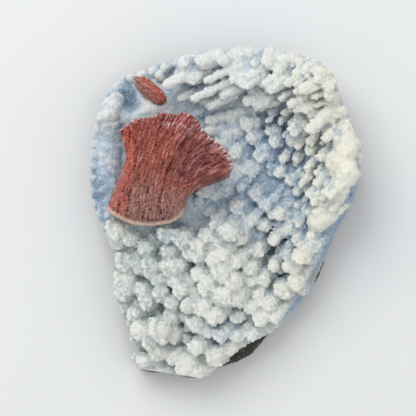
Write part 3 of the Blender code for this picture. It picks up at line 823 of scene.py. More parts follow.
@dataclass(frozen=True)
class ChalcedonyFinish(Finish):
    """Milky chalcedony under a frost of tiny quartz crystals.

    It grew from gel in a gas pocket: light sinks in a little and comes out soft, the hollows are
    painted darker as shade over their own blue, and the tips are white to cream where the quartz
    sugar is thickest, with painted highlights on their edges and glinting grains. The quartz is
    finer than this in the real one, and is drawn as coarse as it needs to show.
    """

    name: str = "frosted chalcedony"
    stored: tuple[str, ...] = ("level", "blue", "stain", "cream", "wall")
    speckles: tuple[Speckle, ...] = (
        Speckle("mottle", 4.0 * MM, 5.0),
        Speckle("sugar", 0.6 * MM, 3.0),
        Speckle("lobes", 1.6 * MM, pattern=Pattern.LOBES),
        Speckle("crystals", 0.6 * MM, pattern=Pattern.CRYSTALS),
    )
    coats: tuple[Coat, ...] = (
        # The gaps between the fingers, painted dark as shade, greyer where the crust isn't blue
        Coat("tone", "#879290", second="#6a8096", blend="blue"),
        # The hollows, in lighter painted shade
        Coat("tone", "#b0bab8", (0.0, 0.22), second="#8ca2b6", blend="blue"),
        # The fingers' sides, half in painted shade
        Coat("tone", "#c2cac6", (0.18, 0.5), second="#bac7d0", blend="blue"),
        # The frosted tips, cream on the right, with the painted highlight that the tone carries
        Coat("tone", "#dcdfdb", (0.45, 0.85), second="#e6e3d2", blend="cream"),
        # The bare blue chalcedony of the broken wall
        Coat("wall", "#7e99b6"),
        # Painted glints on single grains of the sugar, and painted shade in the gaps between them
        Coat("sugar", "#eef0ee", (0.55, 0.68), 0.4),
        Coat("sugar", "#879290", (0.45, 0.33), 0.22, second="#6a8096", blend="blue"),
        # A spot of yellow stain on the wall
        Coat("stain", "#c9b56a"),
    )
    reliefs: tuple[Relief, ...] = (
        Relief("lobes", 0.5, 0.7 * MM, True),
        Relief("crystals", 0.7, 0.35 * MM, True),
    )
    settings: tuple[tuple[str, Any], ...] = (
        ("Roughness", 0.48),
        ("IOR", 1.54),
        ("Subsurface Weight", 0.4),
        ("Subsurface Radius", (1.0, 1.1, 1.2)),
        ("Subsurface Scale", 1.4 * MM),
        ("Sheen Weight", 0.6),
        ("Sheen Roughness", 0.3),
    )
    unevenness: float = 0.24

    def values(self, tree: bpy.types.NodeTree) -> dict[str, Any]:
        """Adds the values, and the tone: the stored level made uneven by mottle and sugar.

        Args:
            tree: the node tree.

        Returns:
            The socket of each value, by name.
        """
        values = super().values(tree)
        tone = values["level"]
        for name in ("mottle", "sugar"):
            inputs = {0: values[name], 1: self.unevenness, 2: tone}
            tone = add_node(tree, "ShaderNodeMath", inputs, operation="MULTIPLY_ADD").outputs[0]
        # Both patterns lie round a half, so together they have added this much
        inputs = {0: tone, 1: self.unevenness}
        values["tone"] = add_node(tree, "ShaderNodeMath", inputs, operation="SUBTRACT").outputs[0]
        return values


@dataclass(frozen=True)
class HeulanditeFinish(Finish):
    """Brick-red heulandite: thin grown blades, pearly on their faces and coloured by iron dust.

    The blades' edges show as light and dark fibres. They are rose at the foot, redder towards
    the rim, and painted orange on the left flank as the light that comes through it.
    """

    name: str = "heulandite blades"
    stored: tuple[str, ...] = ("fibre", "ridge", "tip", "pale", "painted_glow", "along", "wine")
    speckles: tuple[Speckle, ...] = (
        Speckle("patches", 3.0 * MM, 4.0),
        Speckle("grain", 0.5 * MM, 2.0),
        Speckle("pit_shade", 0.7 * MM, 2.0),
    )
    coats: tuple[Coat, ...] = (
        # Foot, middle and rim
        Coat("along", "#9c6f65"),
        Coat("along", "#96422d", (0.12, 0.5)),
        Coat("along", "#8b2a20", (0.6, 0.85)),
        # The wine-red lobe, and the painted light on the lit flank
        Coat("wine", "#6c2829"),
        Coat("painted_glow", "#c4492c"),
        # Dark patches, painted shade in the creases, dark and light fibres, and painted glints on fine
        # grains
        Coat("patches", "#3a0f0d", (0.48, 0.72), 0.4),
        Coat("ridge", "#3a0f0d", (0.5, 0.15), 0.8),
        Coat("fibre", "#d0968a", (0.5, 1.0), 0.55),
        Coat("fibre", "#3a0f0d", (0.45, 0.0), 0.6),
        Coat("grain", "#d0968a", (0.56, 0.7), 0.5),
        # Dark spots of painted shade for the pits in the foot
        Coat("pit_shade", "#2b1114", (0.57, 0.68), 0.6, within=("along", (0.6, 0.15))),
        # Painted glints on the blade ends, and the pale lip under the foot
        Coat("tip", "#ecd3d0"),
        Coat("pale", "#d9c6b0"),
    )
    reliefs: tuple[Relief, ...] = (Relief("grain", 0.8, 0.3 * MM),)
    settings: tuple[tuple[str, Any], ...] = (
        ("Roughness", 0.34),
        ("IOR", 1.5),
        ("Subsurface Weight", 0.1),
        ("Subsurface Radius", (1.6, 0.5, 0.4)),
        ("Subsurface Scale", 0.8 * MM),
    )


@dataclass(frozen=True)
class BasaltFinish(Finish):
    """Broken basalt: fine-grained dark lava, matt, and brown where it has weathered."""

    name: str = "broken basalt"
    stored: tuple[str, ...] = ()
    speckles: tuple[Speckle, ...] = (
        Speckle("weathering", 7.0 * MM, 5.0),
        Speckle("grain", 0.9 * MM, 3.0),
    )
    coats: tuple[Coat, ...] = (
        Coat("weathering", "#383331"),
        Coat("weathering", "#6b5d50", (0.4, 0.6)),
        Coat("grain", "#989085", (0.58, 0.72), 0.6),
    )
    reliefs: tuple[Relief, ...] = (Relief("grain", 0.6, 0.3 * MM),)
    settings: tuple[tuple[str, Any], ...] = (("Roughness", 0.85),)


def ridges(mesh: bpy.types.Mesh, places: np.ndarray, depth: float, spread: int = 1) -> np.ndarray:
    """Measures how much each vertex stands out from its neighbours.

    Args:
        mesh: the mesh.
        places: its vertices.
        depth: the standing out that gives 1, in metres.
        spread: rounds of neighbours that are taken.

    Returns:
        From 0 in a crease through 0.5 on a flat face to 1 on a ridge.
    """
    edges = read_rows(mesh.edges, "vertices", 2, np.int32)
    ends, others = np.concatenate((edges, edges[:, ::-1])).T
    total = len(places)
    count = np.bincount(ends, minlength=total)
    smooth = places
    for _ in range(spread):
        sums = [np.bincount(ends, smooth[others, axis], total) for axis in range(3)]
        smooth = np.stack(sums, axis=1) / np.maximum(count, 1)[:, None]
    normals = read_rows(mesh.vertex_normals, "vector", 3)
    out = ((places - smooth) * normals).sum(axis=1)
    return np.clip(0.5 + 0.5 * out / depth, 0.0, 1.0)


@dataclass(frozen=True)
class Bed:
    """A spread of fingers that fills the crust. Lengths are metres."""

    seed: int
    spacing: float
    margin: float
    run: tuple[float, float]
    radius: tuple[float, float]
    shift: float = 0.0
    sunk: float = 0.0


FILLERS = Bed(23, 5.6 * MM, 4.6 * MM, (5.0 * MM, 8.0 * MM), (2.4 * MM, 3.3 * MM))
UNDERLAYER = Bed(
    29, 4.8 * MM, 2.0 * MM, (4.0 * MM, 6.0 * MM), (2.1 * MM, 2.9 * MM), shift=2.2 * MM, sunk=2.6 * MM
)


@dataclass
class Crust:
    """The chalcedony: slab, fingers and lumps with a sugary skin. Lengths are metres."""

    ground: Ground
    sheaf: "Sheaf"

    # Slab: the height of its widest line and of its underside, and how boxy its edge is
    edge_level: float = 8.5 * MM
    floor: float = 5.5 * MM
    edge_boxiness: float = 0.28
    wall_boxiness: float = 0.3
    slab_segments: int = 160
    slab_rings: int = 72

    # Where it has no fingers: the upper left corner, a strip at the edge, and round the sheaf
    corner: tuple[float, float] = (-13.0 * MM, -6.0 * MM)
    edge_gap: float = 1.2 * MM
    wall_width: float = 3.5 * MM
    sheaf_gap: float = 0.5 * MM

    # Fingers, as shares of their radius
    knob_step: float = 0.36
    knob_jitter: float = 0.07
    squash: float = 0.72
    taper: float = 0.1
    root_sink: float = 0.4
    tip_lift: float = 0.8

    # Small lobes round a finger: their spacing and least radius, and as shares of the finger's
    # radius how far out they are, how far they stray, and their own radius
    lobe_step: float = 1.25 * MM
    lobe_least: float = 0.6 * MM
    lobe_reach: float = 0.8
    lobe_stray: float = 0.12
    lobe_radius: tuple[float, float] = (0.24, 0.36)
    lobed_length: float = 0.75

    # Rim: spacing, how far in its fingers grow, the directions in degrees where they hang over,
    # and their least and greatest radius in mm where the crust is bare and elsewhere
    rim_step: float = 4.6 * MM
    rim_inset: float = 4.5 * MM
    overhang: tuple[float, float] = (296.0, 343.0)
    bare_rim: tuple[float, float] = (1.4, 2.2)
    full_rim: tuple[float, float] = (2.1, 3.0)

    # Lumps: how far the glassy ones on the left sink, left of what x in mm, and their cores
    glassy_sink: float = 1.4 * MM
    glassy_left: float = -38.0
    core: float = 0.97

    # The line of the saw cut in plan, mm
    sawn: tuple[tuple[float, float], tuple[float, float]] = ((-33.5, -56.0), (-10.0, -59.6))

    # Skin
    reliefs: tuple[tuple[float, float, Bumps, Zone], ...] = (
        (6.0 * MM, 2.4 * MM, Bumps.CLOUDS, Zone.ROLLING),
        (3.6 * MM, -1.3 * MM, Bumps.KNOBS, Zone.ROLLING),
        (2.6 * MM, 0.7 * MM, Bumps.CLOUDS, Zone.EVERYWHERE),
        (1.3 * MM, -0.8 * MM, Bumps.KNOBS, Zone.FROSTED),
        (0.5 * MM, 0.2 * MM, Bumps.CLOUDS, Zone.FROSTED),
    )
    voxel: float = 0.45 * MM
    triangles: int = 196000

    # Tone of a finger: its own spread, how much lighter its tip is, and the painted shade of a sunken
    # one that lies under the others
    tone_spread: float = 0.07
    tip_tone: float = 0.16
    sunk_shade: float = -0.1

    # Tone of a spot: the plain one, the painted shade that openness lifts where more sky is seen, what
    # lift adds, the painted highlight on ridges, and what the right half adds
    plain_tone: float = 0.17
    openness_shade: float = 0.36
    lift_tone: float = 0.22
    ridge_highlight: float = 0.6
    right_tone: float = 0.08
    left_tone: float = -0.05

    # Rays of the openness measure, how far they look and how far off the skin they start
    view_rays: int = 12
    view_reach: float = 9.0 * MM
    view_start: float = 0.25 * MM
    view_lowest: float = 0.25

    # The knobs' places and tones, as they are made
    cores: list[tuple[Vector, float]] = field(default_factory=list, init=False)

    def build(self) -> bpy.types.Object:
        """Builds and dresses the crust.

        Returns:
            The piece.
        """
        rng = random.Random(7)
        heap = Heap()
        heap.add(self.slab())
        self.add_fingers(heap, rng)
        self.add_lumps(heap, rng)
        self.add_rim(heap)
        piece = new_object("chalcedony", heap.whole)
        grow_together(piece, self.voxel)
        self.mark_zones(piece)
        soften(piece, 0.5, 2)
        for relief in self.reliefs:
            roughen(piece, *relief)
        bake_modifiers(piece)
        piece.vertex_groups.clear()
        self.saw_off(piece)
        thin_out(piece, self.triangles)
        piece.data.shade_smooth()
        self.mark(piece.data)
        dress(piece, ChalcedonyFinish().material(), Slot.CHALCEDONY, "chalcedony_crust")
        return piece

    def slab(self) -> bmesh.types.BMesh:
        """Draws a ball out to the outline, with its top raised to the ground's height.

        Returns:
            The slab.
        """
        bm = bmesh.new()
        bmesh.ops.create_uvsphere(
            bm, u_segments=self.slab_segments, v_segments=self.slab_rings, radius=1.0
        )
        for vert in bm.verts:
            flat = min(1.0, math.hypot(vert.co.x, vert.co.y))
            angle = math.atan2(vert.co.y, vert.co.x) if flat > 1e-6 else 0.0
            boxiness = self.edge_boxiness + self.wall_boxiness * self.ground.wallness(angle)
            reach = self.ground.reach(angle) * flat**boxiness
            x, y = reach * math.cos(angle), reach * math.sin(angle)
            share = math.sqrt(max(0.0, 1.0 - flat * flat))
            far = self.ground.height(x, y) if vert.co.z >= 0 else self.floor
            vert.co = (x, y, self.edge_level + (far - self.edge_level) * share)
        return bm

    def kept_inside(self, place: Vector, radius: float) -> Vector:
        """Pulls a place in until a ball there stays inside the outline.

        Args:
            place: the place in plan.
            radius: the ball's radius.

        Returns:
            The place, or the nearest one towards the middle that fits.
        """
        most = self.ground.reach(math.atan2(place.y, place.x)) - radius
        return place * min(1.0, most / place.length)

    def in_corner(self, x: float, y: float) -> bool:
        """Tells whether a place is in the smooth, glassy upper left."""
        return x < self.corner[0] and y > self.corner[1]

    def is_bare(self, x: float, y: float) -> bool:
        """Tells whether no finger fills a place: in the corner, at the sheaf and at the edge.

        Args:
            x: the place.
            y: the place.

        Returns:
            Whether it stays bare.
        """
        if self.in_corner(x, y) or self.sheaf.holds(x, y, self.sheaf_gap):
            return True
        angle = math.atan2(y, x)
        strip = self.edge_gap + self.wall_width * self.ground.wallness(angle)
        return math.hypot(x, y) > self.ground.reach(angle) - strip

    def nearest_growth(self, x: float, y: float) -> tuple[Growth, float]:
        """Finds the field whose finger is closest to a place in plan.

        Args:
            x: the place.
            y: the place.

        Returns:
            The field, and the distance to its closest tip.
        """
        best = (math.inf, GROWTHS[0])
        for growth in GROWTHS:
            for tip_x, tip_y, _, _ in growth.fingers:
                away = math.hypot(x - tip_x * MM, y - tip_y * MM)
                if away < best[0]:
                    best = (away, growth)
        return best[1], best[0]

    def finger_ends(self, growth: Growth, x: float, y: float, run: float, radius: float) -> list[Vector]:
        """Finds where a finger starts and ends.

        Args:
            growth: the finger's field.
            x: its tip's place.
            y: its tip's place.
            run: its length in plan.
            radius: its radius.

        Returns:
            Root and tip.
        """
        tip = self.kept_inside(Vector((x, y, 0.0)), radius)
        root = self.kept_inside(tip - towards(math.radians(growth.heading)) * run, radius)
        root.z = self.ground.height(root.x, root.y) - self.root_sink * radius
        rise = run * math.tan(math.radians(growth.rise))
        tip.z = max(root.z + rise, self.ground.height(tip.x, tip.y) + self.tip_lift * radius)
        return [root, tip]

    def add_finger(
        self,
        heap: Heap,
        ends: Sequence[Vector],
        radius: float,
        rng: random.Random,
        scalloped: bool = True,
    ) -> None:
        """Adds a flattish finger of overlapping knobs, with small lobes along its outline.

        Args:
            heap: what it is added to.
            ends: its root and tip.
            radius: its radius.
            rng: the source of chance.
            scalloped: whether it has the small lobes.
        """
        root, tip = ends
        axis = tip - root
        stem = max(2, round(axis.length / (radius * self.knob_step)))
        # A sunken finger of the under layer gets a painted shade instead of its own tone
        tone = rng.gauss(0.0, self.tone_spread) if scalloped else self.sunk_shade
        balls = []
        for knob in range(stem + 1):
            along = knob / stem
            size = radius * (1.0 - self.taper * along)
            size *= rng.uniform(1 - self.knob_jitter, 1 + self.knob_jitter)
            place = root.lerp(tip, along) + jolt(rng) * radius * self.knob_jitter
            balls.append((place, size))
            self.cores.append((place, tone + self.tip_tone * (along - 0.5)))
        heap.add_balls(balls, 2, self.squash)
        if scalloped:
            heap.add_balls(self.scallops(axis, tip, radius, rng), 1)

    def scallops(
        self, axis: Vector, tip: Vector, radius: float, rng: random.Random
    ) -> list[tuple[Vector, float]]:
        """Finds the small lobes round a finger's outline.

        Args:
            axis: from the finger's root to its tip.
            tip: its end.
            radius: its radius.
            rng: the source of chance.

        Returns:
            Centre and radius of each lobe, in metres.
        """
        ahead = axis.normalized()
        side = ahead.cross(UP).normalized()
        reach = self.lobe_reach * radius
        turns = round(math.pi * radius / self.lobe_step)
        places = []
        for lobe in range(turns + 1):
            turn = math.pi * (lobe / turns - 0.5)
            places.append(tip + (ahead * math.cos(turn) + side * math.sin(turn)) * reach)
        for step in range(1, round(self.lobed_length * axis.length / self.lobe_step)):
            flanks = [side * way * reach * 1.04 for way in (-1, 1)]
            places += [tip - ahead * step * self.lobe_step + flank for flank in flanks]
        lobes = []
        for place in places:
            stray = jolt(rng, 1.5) * self.lobe_stray * radius
            lobes.append((place + stray, max(self.lobe_least, radius * rng.uniform(*self.lobe_radius))))
        return lobes

    def slender(
        self, growth: Growth, tip: Vector, radius: float, rng: random.Random
    ) -> list[tuple[Vector, float]]:
        """Narrows a finger, and splits it into two side by side where its field is slender.

        Args:
            growth: the finger's field.
            tip: its tip in plan.
            radius: its radius in the solids.
            rng: the source of chance.

        Returns:
            Tip and radius of each finger that takes its place.
        """
        splits_below, stagger, apart, narrowed = 0.8, 1.4, 0.62, 0.68
        radius *= growth.slimness
        if growth.slimness > splits_below:
            return [(tip, radius)]
        ahead = towards(math.radians(growth.heading)).to_2d()
        side = Vector((-ahead.y, ahead.x))
        split = []
        for way in (-1, 1):
            drift = ahead * rng.uniform(-stagger, stagger) * MM
            split.append((tip + side * way * apart * radius + drift, narrowed * radius))
        return split

    def filler_fingers(self, bed: Bed) -> list[tuple[Growth, float, float, float, float]]:
        """Finds the places of the fingers between the ones that are placed one by one.

        Args:
            bed: how they are spread.

        Returns:
            The field, the tip's x and y, the length in plan and the radius of each, in metres.
        """
        half_span = 62 * MM
        rng = random.Random(bed.seed)
        placed = []
        row_step = bed.spacing * 0.87
        rows = round(half_span / row_step)
        for row in range(-rows, rows + 1):
            for column in range(-rows, rows + 1):
                x = (column + 0.5 * (row % 2)) * bed.spacing + rng.uniform(-1, 1) * MM + bed.shift
                y = row * row_step + rng.uniform(-1, 1) * MM
                run, radius = rng.uniform(*bed.run), rng.uniform(*bed.radius)
                if self.is_bare(x, y):
                    continue
                growth, away = self.nearest_growth(x, y)
                if away > bed.margin:
                    placed.append((growth, x, y, run, radius))
        return placed

    def add_fingers(self, heap: Heap, rng: random.Random) -> None:
        """Adds the fingers placed one by one, and then the beds between them.

        Args:
            heap: what they are added to.
            rng: the source of chance.
        """
        for growth in GROWTHS:
            for x, y, run, bare_radius in growth.fingers:
                radius = bare_radius * growth.girth * (0.4 + 0.6 * growth.slimness) * MM
                ends = self.finger_ends(growth, x * MM, y * MM, run * MM, radius)
                self.add_finger(heap, ends, radius, rng)
        for bed in (FILLERS, UNDERLAYER):
            for growth, x, y, run, radius in self.filler_fingers(bed):
                for place, width in self.slender(growth, Vector((x, y)), radius, rng):
                    ends = self.finger_ends(growth, place.x, place.y, run / growth.slimness, width)
                    lowered = [end - UP * bed.sunk for end in ends]
                    self.add_finger(heap, lowered, width, rng, bed.sunk == 0)

    def add_lumps(self, heap: Heap, rng: random.Random) -> None:
        """Adds the rounded lumps, and what joins them into masses.

        Args:
            heap: what they are added to.
            rng: the source of chance.
        """
        centres = []
        for x, y, radius, above in LUMPS:
            centre = self.kept_inside(Vector((x * MM, y * MM, 0.0)), radius * MM)
            sink = self.glassy_sink if x < self.glassy_left else 0.0
            centre.z = self.ground.height(centre.x, centre.y) + above * MM - sink
            self.add_knob(heap, centre, radius * MM, rng)
            centres.append((centre, radius * MM))
        for chain in LUMP_CHAINS:
            for first, second in zip(chain, chain[1:]):
                for share in (0.25, 0.5, 0.75):
                    between = centres[first][0].lerp(centres[second][0], share)
                    radius = centres[first][1] * (1 - share) + centres[second][1] * share
                    heap.add_balls([(between, radius * self.core)], 3)

    def add_knob(self, heap: Heap, centre: Vector, radius: float, rng: random.Random) -> None:
        """Adds a rounded knob of five smaller ones grown round a core.

        Args:
            heap: what it is added to.
            centre: its centre.
            radius: its radius.
            rng: the source of chance.
        """
        balls = []
        for _ in range(5):
            out = Vector((rng.gauss(0, 1), rng.gauss(0, 1), 0.4 * abs(rng.gauss(0, 1)))).normalized()
            balls.append((centre + out * radius * 0.5, radius * rng.uniform(0.48, 0.55)))
        heap.add_balls(balls, 3)
        heap.add_balls([(centre, radius * self.core)], 3)

    def add_rim(self, heap: Heap) -> None:
        """Adds the short fingers that hang over the crust's edge, in two tiers.

        Args:
            heap: what they are added to.
        """
        places, rng = random.Random(31), random.Random(32)
        angle = 0.0
        while angle < math.tau:
            reach = self.ground.reach(angle)
            out = towards(angle)
            inner = out * (reach - self.rim_inset)
            bare = self.in_corner(inner.x, inner.y)
            radius = places.uniform(*(self.bare_rim if bare else self.full_rim)) * MM
            growth, _ = self.nearest_growth(inner.x, inner.y)
            top = self.ground.height(inner.x, inner.y) - (radius if bare else 0.0)
            for tier in (0.0, places.uniform(0.35, 0.6)):
                heading = math.radians(growth.heading + places.uniform(-25, 25))
                half = towards(heading) * places.uniform(1.0, 2.5) * MM
                level = UP * (top + (self.edge_level - top) * tier + places.uniform(-1.2, 0.3) * MM)
                place = out * (reach - 1.1 * radius)
                root, tip = (self.kept_inside(place + half * way, radius) + level for way in (-1, 1))
                if tier == 0.0 and self.overhang[0] < math.degrees(angle) < self.overhang[1]:
                    inward = out * 1.2 * MM + UP * 0.5 * radius
                    self.add_finger(heap, (root - inward, tip - inward), radius * 0.8, rng)
                if self.ground.wallness(angle) < 0.5:
                    tilt = UP * 0.5 * MM
                    self.add_finger(heap, (root - tilt, tip + tilt), radius, rng)
            angle += self.rim_step / reach

    def mark_zones(self, piece: bpy.types.Object) -> None:
        """Says how rough each place grows: little on the glassy upper left and the right mass.

        Args:
            piece: the crust.
        """
        steps_to_full = 8
        places = vertex_places(piece.data)
        x, y = places[:, 0] / MM, places[:, 1] / MM
        corner = eased(-x, 11, 17) * eased(y, -8, -2)
        mass = eased(x, 36, 40) * eased(-np.abs(y - 15), -18, -12)
        zones = {
            Zone.FROSTED: 1 - np.maximum(0.75 * corner, 0.55 * mass),
            Zone.ROLLING: np.maximum(0.2625 * corner, mass),
        }
        for zone, shares in zones.items():
            group = piece.vertex_groups.new(name=zone.value)
            steps = np.round(steps_to_full * shares).astype(int)
            for step in np.unique(steps):
                group.add(np.flatnonzero(steps == step).tolist(), step / steps_to_full, "REPLACE")

    def saw_off(self, piece: bpy.types.Object) -> None:
        """Cuts the crust straight where the specimen was sawn, at its near end.

        Args:
            piece: the crust.
        """
        start, end = (Vector((*point, 0.0)) * MM for point in self.sawn)
        outward = (end - start).cross(UP).normalized()
        bm = bmesh.new()
        bm.from_mesh(piece.data)
        whole = list(bm.verts) + list(bm.edges) + list(bm.faces)
        bmesh.ops.bisect_plane(bm, geom=whole, plane_co=start, plane_no=outward, clear_outer=True)
        bmesh.ops.holes_fill(bm, edges=[edge for edge in bm.edges if edge.is_boundary])
        bmesh.ops.triangulate(bm, faces=[face for face in bm.faces if len(face.verts) > 4])
        bm.to_mesh(piece.data)
        bm.free()

    def mark(self, mesh: bpy.types.Mesh) -> None:
        """Stores what the finish reads: each spot's tone with its painted shade and highlight, blue,
        stain, cream and wall blue.

        Args:
            mesh: the crust's mesh.
        """
        places = vertex_places(mesh)
        x, y = places[:, 0] / MM, places[:, 1] / MM
        right = eased(x, 8, 42)
        lower = eased(-y, -4, 16)
        lift = eased(places[:, 2] - self.ground.heights(places[:, :2]), 0.5 * MM, 6.5 * MM)
        # Painted shade where little sky is seen, and a painted highlight on the fingers' standing edges
        standing = np.clip(ridges(mesh, places, 0.4 * MM, 5) - 0.55, 0.0, 0.45)
        level = self.plain_tone + self.openness_shade * self.openness(mesh, places) + self.lift_tone * lift
        level += self.own_tones(places) + self.ridge_highlight * standing
        level += self.right_tone * right + self.left_tone * (1 - right) * (1 - lower)
        blue = 1 - lower * (1 - 0.6 * eased(x, 5, 25)) - 0.6 * right * eased(y, -5, 30)
        for tint in TINTS:
            near = np.exp(-((x - tint.x) ** 2 + (y - tint.y) ** 2) / tint.width**2)
            level += tint.frost * near
            blue += tint.blue * near
        wallness, inside = self.edge_measures(places)
        wall = 0.75 * wallness * (1 - eased(inside, 1.5 * MM, 4.5 * MM)) * (1 - lift)
        store(mesh, "level", level)
        store(mesh, "blue", np.clip(blue, 0, 1))
        store(mesh, "stain", 0.8 * np.exp(-(((x - 32.8) / 1.2) ** 2) - ((y + 24) / 2.4) ** 2))
        store(mesh, "cream", np.clip(0.85 * right + 0.35 * lower, 0, 1))
        store(mesh, "wall", wall)

    def own_tones(self, places: np.ndarray) -> np.ndarray:
        """Finds the tone of the finger that each vertex belongs to.

        Args:
            places: the vertices.

        Returns:
            The tone of the nearest knob for each vertex.
        """
        tree = KDTree(len(self.cores))
        for index, (place, _) in enumerate(self.cores):
            tree.insert(place, index)
        tree.balance()
        return np.array([self.cores[tree.find(place)[1]][1] for place in places])

    def edge_measures(self, places: np.ndarray) -> tuple[np.ndarray, np.ndarray]:
        """Finds how much of the broken wall each vertex has, and how far inside the edge it is.

        Args:
            places: the vertices.

        Returns:
            The wall's share and the distance in metres, for each vertex.
        """
        angles = np.arctan2(places[:, 1], places[:, 0])
        table = np.radians(np.arange(-180, 181))
        wallness = np.interp(angles, table, [self.ground.wallness(angle) for angle in table])
        reach = np.interp(angles, table, [self.ground.reach(angle) for angle in table])
        return wallness, reach - np.hypot(places[:, 0], places[:, 1])

    def openness(self, mesh: bpy.types.Mesh, places: np.ndarray) -> np.ndarray:
        """Measures how much of the sky above it each vertex sees within a short way, for the painted
        shade in hollows.

        Args:
            mesh: the crust's mesh.
            places: its vertices.

        Returns:
            A share from 0 to 1 for each vertex.
        """
        bm = bmesh.new()
        bm.from_mesh(mesh)
        tree = BVHTree.FromBMesh(bm)
        bm.free()
        rng = random.Random(5)
        rays = []
        for ray in range(self.view_rays):
            height = self.view_lowest + (1 - self.view_lowest) * (ray + 0.5) / self.view_rays
            flat = math.sqrt(1 - height * height)
            rays.append(towards(math.tau * rng.random()) * flat + UP * height)
        normals = read_rows(mesh.vertex_normals, "vector", 3)
        seen = []
        for place, normal in zip(places, normals):
            start = Vector(place) + Vector(normal) * self.view_start
            seen.append(sum(tree.ray_cast(start, ray, self.view_reach)[0] is None for ray in rays))
        return np.array(seen) / self.view_rays


@dataclass
class Sheaf:
    """The large sheaf of heulandite blades, narrow at its waist and flared at both ends.

    Its fibres run from the base line over the waist line to the rim line. A fibre is named by a
    share from 0 at the left to 1 at the right, a place on it by a share from 0 at the base to 1 at
    the rim. Lines are (x, y) in mm, other lengths metres.
    """

    base: tuple[tuple[float, float], ...] = (
        (-43.5, 1.0), (-41.0, -1.5), (-37.5, -3.5), (-34.0, -5.0), (-30.5, -5.5), (-26.5, -5.5),
        (-23.5, -5.0), (-20.5, -4.5), (-18.5, -3.5), (-16.5, -1.5), (-14.5, 1.5),
    )
    waist: tuple[tuple[float, float], ...] = (
        (-37.0, 14.5), (-32.0, 13.0), (-27.0, 11.0), (-22.0, 9.5), (-17.0, 8.0), (-12.0, 6.5)
    )
    rim: tuple[tuple[float, float], ...] = (
        (-38.0, 27.5), (-35.0, 30.0), (-31.0, 32.0), (-26.5, 32.0), (-23.5, 33.5), (-20.5, 34.0),
        (-17.5, 33.5), (-15.0, 34.5), (-12.0, 33.5), (-9.5, 31.0), (-7.0, 27.0), (-3.5, 24.0),
        (0.0, 21.0), (2.0, 17.5), (3.0, 14.5), (1.5, 12.5),
    )
    waist_at: float = 0.38

    # Upper face and underside, at base, waist and rim
    heights: tuple[float, float, float] = (29.0 * MM, 34.5 * MM, 40.6 * MM)
    unders: tuple[float, float, float] = (16.5 * MM, 14.5 * MM, 26.5 * MM)

    # How far the upper face falls: at the left flank and the right edge, over what share of the
    # fibres, and at the base's round edge, over what share of a fibre
    flank: float = 0.13
    flank_drop: float = 7.0 * MM
    right_edge: float = 0.08
    right_drop: float = 3.0 * MM
    base_edge: float = 0.08
    base_drop: float = 3.0 * MM

    # Creases between fans: fibre at the base and at the rim, width as a share, and depth
    creases: tuple[tuple[float, float, float, float], ...] = (
        (0.25, 0.06, 0.014, 1.5 * MM), (0.58, 0.63, 0.016, 1.9 * MM), (0.42, 0.4, 0.01, 0.7 * MM)
    )

    # The lower row of broken blades at the rim: first and last fibre, where it starts, and its drop
    back_row: tuple[float, float, float] = (0.3, 0.63, 0.88)
    back_drop: float = 1.6 * MM

    # Blades: ribs side by side in the rim, layers of them, and scales on the upper face
    ribs: int = 62
    layers: int = 5
    scales: int = 3600

    # The pale lip: balls along the base
    lip_balls: int = 140
    lip_radius: float = 1.1 * MM
    lip_sink: float = 1.4 * MM

    voxel: float = 0.23 * MM
    triangles: int = 180000

    def __post_init__(self) -> None:
        """Works out the border of the sheaf's plan."""
        rim_steps, side_steps, base_steps = 30, 12, 20
        self.border = [along_line(self.rim, step / rim_steps) for step in range(rim_steps + 1)]
        self.border += [self.plan(1.0, 1 - step / side_steps) for step in range(1, side_steps)]
        self.border += [along_line(self.base, 1 - step / base_steps) for step in range(base_steps + 1)]
        self.border += [self.plan(0.0, step / side_steps) for step in range(1, side_steps)]

    def bend(self, low: Any, middle: Any, high: Any, share: float) -> Any:
        """Reads the parabola through the base, the waist and the rim.

        Args:
            low: the value at the base.
            middle: the value at the waist.
            high: the value at the rim.
            share: the place along a fibre.

        Returns:
            The value there.
        """
        at = self.waist_at
        return (
            low * ((share - at) * (share - 1) / at)
            + middle * (share * (1 - share) / (at * (1 - at)))
            + high * (share * (share - at) / (1 - at))
        )

    def plan(self, fibre: float, share: float) -> Vector:
        """Finds a place of a fibre in plan."""
        return self.bend(*(along_line(line, fibre) for line in (self.base, self.waist, self.rim)), share)

    def top(self, fibre: float, share: float) -> float:
        """Finds the height of the sheaf's upper face.

        Args:
            fibre: the fibre.
            share: the place along it.

        Returns:
            The height in metres.
        """
        height = self.bend(*self.heights, share)
        left = max(0.0, 1 - fibre / self.flank)
        right = max(0.0, 1 - (1 - fibre) / self.right_edge)
        height -= self.flank_drop * left * left * (1 - 0.75 * share) + self.right_drop * right * right
        for at_base, at_rim, width, depth in self.creases:
            crease = at_base + (at_rim - at_base) * share
            height -= depth * (0.5 + 0.5 * share) * math.exp(-(((fibre - crease) / width) ** 2))
        if self.back_row[0] < fibre < self.back_row[1] and share > self.back_row[2]:
            height -= self.back_drop
        return height - self.base_drop * max(0.0, 1 - share / self.base_edge) ** 2

    def under(self, share: float) -> float:
        """Finds the height of the sheaf's underside, which is lowest under its waist.

        Args:
            share: the place along a fibre.

        Returns:
            The height in metres.
        """
        low, middle, high = self.unders
        if share < self.waist_at:
            return middle + (low - middle) * ((self.waist_at - share) / self.waist_at) ** 2
        return middle + (high - middle) * ((share - self.waist_at) / (1 - self.waist_at)) ** 2

    def holds(self, x: float, y: float, margin: float) -> bool:
        """Tells whether a place is inside the sheaf's plan, grown by a margin.

        Args:
            x: the place.
            y: the place.
            margin: how far outside still counts.

        Returns:
            Whether the sheaf holds the place.
        """
        inside, near = False, math.inf
        for start, end in zip(self.border, self.border[1:] + self.border[:1]):
            if (start.y > y) != (end.y > y):
                crossing = start.x + (end.x - start.x) * (y - start.y) / (end.y - start.y)
                inside ^= x < crossing
            near = min(near, math.hypot(start.x - x, start.y - y))
        return inside or near < margin

